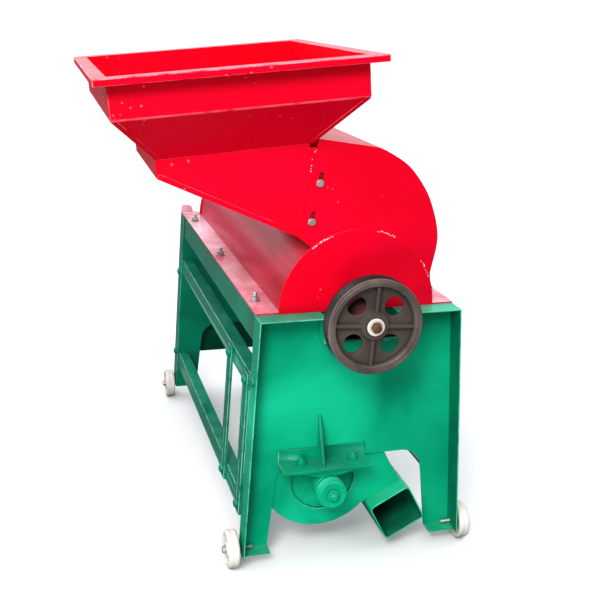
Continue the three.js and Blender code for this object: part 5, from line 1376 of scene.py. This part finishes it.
# %% Hood wrap
WRAP_SHEET = 2.5
WRAP_FOOT_ANGLE = math.radians(8)
WRAP_FOOT_OUT = 1.6
WRAP_FOOT_HEIGHT = 23
low, middle, high = measured("hood_wrap_sheet")
wrap_foot = (COVER_RADIUS * math.cos(WRAP_FOOT_ANGLE) + WRAP_FOOT_OUT, COVER_BASE + WRAP_FOOT_HEIGHT)
wrap_line = [left_edge[1]] + crown + [wrap_foot]
wrap = moved(plate([ribbon(wrap_line, WRAP_SHEET)], low.y, high.y, corner=0.4), zero)
add_piece("hood_wrap_bent", wrap, "red_paint", "frame", ["hood_wrap_sheet"], weighted=True)
print("wrap from", round(low.y, 1), "to", round(high.y, 1), "mm")

# %% [markdown]
# **Cover ends.** A half-round plate closes each end of the cover, with a notch for the shaft. The
# CAD's arcs have few steps, which would show in the silhouette, so the plates are cut with finer
# ones.

# %% Cover end plates
COVER_SHEET = 3
SHAFT_NOTCH = 30
cover_outer = COVER_RADIUS + COVER_SHEET
notch = arc(0, DRUM_HEIGHT, SHAFT_NOTCH, start=180, end=0, steps=24)
dome_line = arc(0, COVER_BASE, cover_outer, start=0, end=180, steps=96)
end_outline = [(cover_outer, FRAME_HEIGHT)] + dome_line + [(-cover_outer, FRAME_HEIGHT)] + notch
for node in ("cover_front_end", "cover_rear_end"):
    low, middle, high = measured(node)
    end_plate = moved(plate([end_outline], low.y, high.y, steps=2), zero)
    add_piece(node + "_cut", end_plate, "red_paint", "frame", [node], weighted=True)
print("cover radius:", cover_outer, "mm")

# %% [markdown]
# **Cover corners.** Behind the cover its flange runs on over the rear panel's top edge and ends in a
# small rounded ear that is bent up, pale where its paint is worn to the primer. Only the left one
# shows in the photograph. The right one is the same piece mirrored.

# %% Cover corners
EAR_SHEET = 2.4
EAR_INSET = 1
EAR_GAP = 0.1
FLANGE_LIFT = 0.4
flange_outer = measured("drum_cover")[2].x
flange_under = FRAME_HEIGHT + FLANGE_LIFT
flange_start = measured("cover_rear_end")[2].y + GAP
ear_end = measured("rear_end_panel")[2].y - EAR_INSET
ear_start = ear_end - EAR_SHEET
EAR_OUTLINE = [
    (-flange_outer, flange_under, 0), (-flange_outer, 544, 13), (-180, 541, 12), (-175, flange_under, 0),
]
for side, mirror in (("left", 1), ("right", -1)):
    flat = rectangle(-mirror * flange_outer, -mirror * cover_outer, flange_under, COVER_BASE)
    flange_end = moved(plate([flat], flange_start, ear_start - EAR_GAP, corner=0.4), zero)
    # The flange's ends take the cover's paint, with its painted reflections and painted highlight.
    add_piece(f"cover_{side}_flange_end", flange_end, "red_paint", "frame", paint=cover_paint_painted_reflections)
    ear = [(mirror * x, z) for x, z in filleted(EAR_OUTLINE, closed=False)]
    bent_ear = moved(plate([ear], ear_start, ear_end, steps=2), zero)
    add_piece(f"cover_{side}_ear", bent_ear, "red_paint", "frame", paint=scraped_paint)
print("cover corners run to", ear_end, "mm")

# %% [markdown]
# **Hopper.** A folded rim, a straight band and a four-sided funnel, all thin sheet with welded
# corners. A Solidify modifier could give flat walls their thickness, but it leaves uneven corners.
# Each ring of sheet is lofted through rectangles instead, down its outside and back up its inside,
# so every wall has its real thickness and clean four-sided faces that bevel well.

# %% Hopper rim and body
HOPPER_TILT = math.radians(4.94)
HOPPER_CORNER_HEIGHT = 981.5
HOPPER_SHEET = 2.5
RIM_EDGE = (0, 513, 0, 600)
RIM_OPENING = (23, 486, 30, 570)
RIM_DROP = 12.5
BAND_DROP = 73.6
FUNNEL_DROP = 162
FUNNEL_FOOT = (100.5, 401.5, 129.4, 467.6)
rim_low = measured("hopper_rim")[0]
hopper_corner = (rim_low.x, rim_low.y, HOPPER_CORNER_HEIGHT)
hopper_turn = Matrix.Translation(at(*hopper_corner)) @ Matrix.Rotation(-HOPPER_TILT, 4, "Y")


def inset(sides, by):
    """A rectangle of (left, right, near, far) that is smaller by an even margin."""
    left, right, near, far = sides
    return (left + by, right - by, near + by, far - by)


def loft(rows):
    """A closed ring of sheet through rectangles, each given with its height."""
    shape = bmesh.new()
    rings = []
    for (left, right, near, far), z in rows:
        corners = ((left, near, z), (right, near, z), (right, far, z), (left, far, z))
        rings.append([shape.verts.new(Vector(corner) * MM) for corner in corners])
    for low, high in zip(rings, rings[1:] + rings[:1]):
        for k in range(4):
            shape.faces.new((low[k], low[(k + 1) % 4], high[(k + 1) % 4], high[k]))
    bmesh.ops.recalc_face_normals(shape, faces=shape.faces)
    return shape


band = inset(RIM_OPENING, GAP)
rim_inside = inset(RIM_EDGE, HOPPER_SHEET)
rim_rows = [(RIM_EDGE, -RIM_DROP), (RIM_EDGE, 0), (RIM_OPENING, 0), (RIM_OPENING, -HOPPER_SHEET),
            (rim_inside, -HOPPER_SHEET), (rim_inside, -RIM_DROP)]
body_rows = [(band, 0), (band, -BAND_DROP), (FUNNEL_FOOT, -FUNNEL_DROP)]
body_rows += [(inset(sides, HOPPER_SHEET), z) for sides, z in reversed(body_rows)]
for node, rows in (("hopper_rim", rim_rows), ("hopper_body", body_rows)):
    hopper_sheet = dress(moved(loft(rows), Vector(), hopper_turn))
    add_piece(node + "_folded", hopper_sheet, "red_paint", "hopper", [node], weighted=True)
print("hopper tilt", round(math.degrees(HOPPER_TILT), 2), "degrees")

# %% [markdown]
# **Lapped seams.** Where two walls meet, one has a narrow flange that lies over the other and is
# spot welded. On the machine these show as fine lines beside the funnel's corners and above the
# chute's floor. A bump could fake them, but a strip of sheet one millimetre thick, laid on the face
# it laps, also shows in the exported shape.

# %% Lapped seams
LAP_WIDTH = 10
LAP_SHEET = 1.1
LAP_EASED = 0.35 * MM


def lap(start, end, inward, outward):
    """A strip from start to end, as wide as the lap, raised off the face it lies on."""
    a, b = Vector(start), Vector(end)
    along = (b - a).normalized()
    across = (Vector(inward) - along * Vector(inward).dot(along)).normalized() * LAP_WIDTH
    up = Vector(outward).normalized() * LAP_SHEET
    shape = bmesh.new()
    low = [shape.verts.new(p * MM) for p in (a, b, b + across, a + across)]
    high = [shape.verts.new((p + up) * MM) for p in (a, b, b + across, a + across)]
    shape.faces.new(low[::-1])
    shape.faces.new(high)
    for k in range(4):
        shape.faces.new((low[k], low[(k + 1) % 4], high[(k + 1) % 4], high[k]))
    bmesh.ops.recalc_face_normals(shape, faces=shape.faces)
    ease(shape, is_corner, LAP_EASED, CORNER_STEPS, WORN_CORNER)
    return shape


LAP_TOP_IN = 1.7
LAP_TOP_DOWN = 1.4
LAP_FOOT_IN = 0.5
LAP_FOOT_UP = 1
CHUTE_LAP = ((101, -197), (338, -329))
CHUTE_LAP_INWARD = (0.3, 0, 1)
band_left, band_right, band_near, band_far = band
foot_left, foot_right, foot_near, foot_far = FUNNEL_FOOT
laps = []
for side, top_y, foot_y in ((-1, band_near, foot_near), (1, band_far, foot_far)):
    wall_normal = (0, side * (FUNNEL_DROP - BAND_DROP), band_near - foot_near)
    for inward, top_x, foot_x in ((1, band_left, foot_left), (-1, band_right, foot_right)):
        top = (top_x + inward * LAP_TOP_IN, top_y, -BAND_DROP - LAP_TOP_DOWN)
        foot = (foot_x + inward * LAP_FOOT_IN, foot_y, LAP_FOOT_UP - FUNNEL_DROP)
        laps.append(lap(top, foot, (inward, 0, 0), wall_normal))
    start, end = ((x, foot_y, z) for x, z in CHUTE_LAP)
    laps.append(lap(start, end, CHUTE_LAP_INWARD, (0, side, 0)))
add_piece("hopper_laps", moved(gather(laps), Vector(), hopper_turn), "red_paint", "hopper")
print("laps:", len(laps))

# %% [markdown]
# **Chute.** Two side walls carry tongues that slide between the hood's plates, and one sheet is bent
# into a short end wall and the sloping floor. The walls are cut flat, so the chute is built from the
# same stock helper in the hopper's own tilted frame, where the hood's corner is found by turning it.

# %% The chute's outline
CHUTE_LOW = -196.3
CHUTE_END = 393.2
CHUTE_NOTCH = (12.5, 8)
TONGUE_DROP = 36
TONGUE_LENGTH = 48
FLOOR_END_RADIUS = COVER_RADIUS + 5.25
FLOOR_END_ANGLE = math.radians(124.57)


def to_hopper(x, z):
    """A point of the frame's X and Z in the hopper's tilted frame."""
    across, up = x - hopper_corner[0], z - hopper_corner[2]
    turn_cos, turn_sin = math.cos(HOPPER_TILT), math.sin(HOPPER_TILT)
    return (across * turn_cos + up * turn_sin, up * turn_cos - across * turn_sin)


edge_x, edge_z = to_hopper(*left_edge[0])
slide_slope = math.tan(math.radians(HOOD_TILT) - HOPPER_TILT)


def tongue_edge(z):
    """A point on the tongue's edge, which runs along the way the hopper slides."""
    return (edge_x + TONGUE_LENGTH + (z - edge_z) * slide_slope, z)


chute_top = -FUNNEL_DROP - GAP
chute_corner = (foot_left, CHUTE_LOW)
floor_end = to_hopper(FLOOR_END_RADIUS * math.cos(FLOOR_END_ANGLE),
                      COVER_BASE + FLOOR_END_RADIUS * math.sin(FLOOR_END_ANGLE))
notch_x, notch_z = CHUTE_END + CHUTE_NOTCH[0], chute_top - CHUTE_NOTCH[1]
chute_outline = [
    (foot_left, chute_top), chute_corner, floor_end, tongue_edge(floor_end[1] + CHUTE_NOTCH[1]),
    tongue_edge(chute_top - TONGUE_DROP), (notch_x, chute_top - TONGUE_DROP), (notch_x, notch_z),
    (CHUTE_END, notch_z), (CHUTE_END, chute_top),
]
print("chute floor ends at", [round(v, 1) for v in floor_end])

# %% [markdown]
# Both walls are cut from that outline, with a hole for each bolt. The floor is a ribbon of the same
# sheet between them, and the three are joined, as they are welded on the machine.

# %% Chute
CHUTE_WALL = 2.5
BOLT_HOLE = 4.3
bolt_holes = [circle(*to_hopper(*hood_point(shares)), BOLT_HOLE, steps=20) for shares in BOLT_SHARES]
floor_line = [floor_end, chute_corner, (foot_left, chute_top)]
chute_sheets = [plate([chute_outline] + bolt_holes, start, start + CHUTE_WALL, corner=0.4, steps=2)
                for start in (foot_near, foot_far - CHUTE_WALL)]
chute_sheets.append(plate([ribbon(floor_line, CHUTE_WALL)], foot_near + GAP, foot_far - GAP, corner=0.3))
chute = moved(gather(chute_sheets), Vector(), hopper_turn)
add_piece("hopper_chute_welded", chute, "red_paint", "hopper", ["hopper_chute"], weighted=True)
print("chute sheets:", len(chute_sheets))

# %% [markdown]
# **Scraped welds.** The hood is tacked to the cover's end plate at three places, and the paint there
# was knocked off again. Such marks could be painted into an image, but an image stays flat and
# blurs close up, so each is a run of small uneven scales of primer colour, lying on the seam.
# Random numbers from one seed keep them irregular but the same in every render.

# %% Scraped welds
SEAM_ARCS = ((111, 127, 17), (63, 77, 15), (21, 34, 9))
SEAM_RADIUS = 162.2
SCALE_POINTS = 9
SCALE_STRETCH = 1.7
MARK_EASED = 0.1
WELD_LIFT = 0.05
chance = random.Random(7)


def scale_of_paint(x, y, z, size, turn, thick=0.45):
    """A flat uneven scale in a plane across Y, with its back at y."""
    points = []
    for step in range(SCALE_POINTS):
        angle = turn + 2 * math.pi * step / SCALE_POINTS
        reach = size * chance.uniform(0.45, 1.0)
        along, across = SCALE_STRETCH * reach * math.cos(angle), reach * math.sin(angle)
        points.append((x + along * math.cos(turn) - across * math.sin(turn),
                       z + along * math.sin(turn) + across * math.cos(turn)))
    return plate([points], y - thick, y, MARK_EASED)


weld_back = measured("cover_front_end")[0].y - WELD_LIFT
scales = []
for start, end, count in SEAM_ARCS:
    for step in range(count):
        angle = math.radians(start + (end - start) * (step + chance.uniform(-0.4, 0.4)) / (count - 1))
        reach = SEAM_RADIUS + chance.uniform(-2.2, 0.6)
        x, z = reach * math.cos(angle), COVER_BASE + reach * math.sin(angle)
        scales.append(scale_of_paint(x, weld_back, z, chance.uniform(0.7, 1.9), angle + math.pi / 2))
add_piece("weld_marks", moved(gather(scales), zero), "red_paint", "frame", paint=scraped_paint)
print("scales:", len(scales))

# %% [markdown]
# A few flakes are gone from the chute's edge beside the hood too. They move with the hopper, so they
# are a piece of their own that rides on it, and they are thinner than the welds' scales, to fit
# between the chute's wall and the hood's plate. Behind the hood's slots the tongues are painted dark
# red as painted shade, so each slot reads as an opening.

# %% Flakes and painted slot shadows
FLAKES = ((-93, 842, 1.2), (-96, 838, 1.6), (-101, 824, 1.0),
          (-102, 812, 1.3), (-103, 806, 0.9), (-103, 801, 1.5))
FLAKE_TURN = math.radians(80)
FLAKE_THICK = 0.28
FLAKE_LIFT = 0.04
SLOT_SHADOW_LIFTS = (0.34, 0.06)
chute_face = hopper_corner[1] + foot_near
flake_back = chute_face - FLAKE_LIFT
flakes = [scale_of_paint(x, flake_back, z, size, FLAKE_TURN, FLAKE_THICK) for x, z, size in FLAKES]
add_piece("chute_flakes", moved(gather(flakes), zero), "red_paint", "hopper", paint=scraped_paint)
slot_shadow_start, slot_shadow_end = (chute_face - lift for lift in SLOT_SHADOW_LIFTS)
slot_shadows = gather([plate([slot], slot_shadow_start, slot_shadow_end, MARK_EASED) for slot in slots])
add_piece("slot_rub_marks", moved(slot_shadows, zero), "red_paint", "hopper", paint=grimy_red)
print("flakes:", len(flakes), "slot shadows:", len(slots))

# %% [markdown]
# **Fan behind the inlet.** Through the inlet one sees a painted disc with the front edges of its
# blades, not a dark hole. The CAD's impeller is simpler and lies deeper, so it gets that disc in
# front. It turns with the fan.

# %% Fan disc
DISC_RADIUS = 71
DISC_BORE = 13
DISC_PLACE = (58, 60)
BLADES = 6
BLADE_EDGE = [(-25, 4), (28, -57), (30, -55.5), (-23, 5.5)]
BLADE_PLACE = (56.4, 58.2)
FIRST_BLADE = 195
disc_parts = [plate([circle(0, 0, DISC_RADIUS, steps=64), circle(0, 0, DISC_BORE)], *DISC_PLACE, corner=0.4)]
for blade in range(BLADES):
    turn = Matrix.Rotation(math.radians(FIRST_BLADE + 360 * blade / BLADES), 4, "Y")
    disc_parts.append(moved(plate([BLADE_EDGE], *BLADE_PLACE, corner=0.3), Vector(), turn))
add_piece("fan_inlet_disc", moved(gather(disc_parts), fan_centre), "green_paint", "fan")
print("blades:", BLADES)

# %% [markdown]
# Everything that hasn't been remade above keeps its CAD shape and only gets its rounded edges. The
# fan's square mouth is a thick folded tube, so its corners are rounder than those of the frame. Its
# inside is darkened as painted shade, and so, less strongly, are the front panel's side folds. Which
# faces lie inside is read from the way they look, so that no face has to be picked by hand.

# %% The other sheets and shafts
MOUTH_PAINTED_SHADE = 0.7
MOUTH_FOLD = 5 * MM
MOUTH_EASED = 0.9 * MM
PANEL_FOLD_PAINTED_SHADE = 0.62
PANEL_FOLD_NEAREST = 150 * MM
SIDEWAYS = 0.9
mouth_middle = at(*measured("fan_outlet_elbow")[1])


def inside_mouth(face):
    return MOUTH_PAINTED_SHADE if (face.calc_center_median() - mouth_middle).dot(face.normal) < 0 else 0.0


def inside_fold(face):
    across = face.calc_center_median().x - zero.x
    looks_in = abs(face.normal.x) > SIDEWAYS and across * face.normal.x < 0
    return PANEL_FOLD_PAINTED_SHADE if looks_in and abs(across) > PANEL_FOLD_NEAREST else 0.0


SPECIAL = {
    "fan_outlet_elbow": {"painted_shading": inside_mouth, "fold": MOUTH_FOLD, "eased": MOUTH_EASED},
    "front_end_panel": {"painted_shading": inside_fold},
}
plain_nodes = sorted(set(frame["nodes"]) - remade)
for node in plain_nodes:
    soften(node, **SPECIAL.get(node, {}))
print("kept the CAD shape of", len(plain_nodes), "of", len(remade), "nodes")
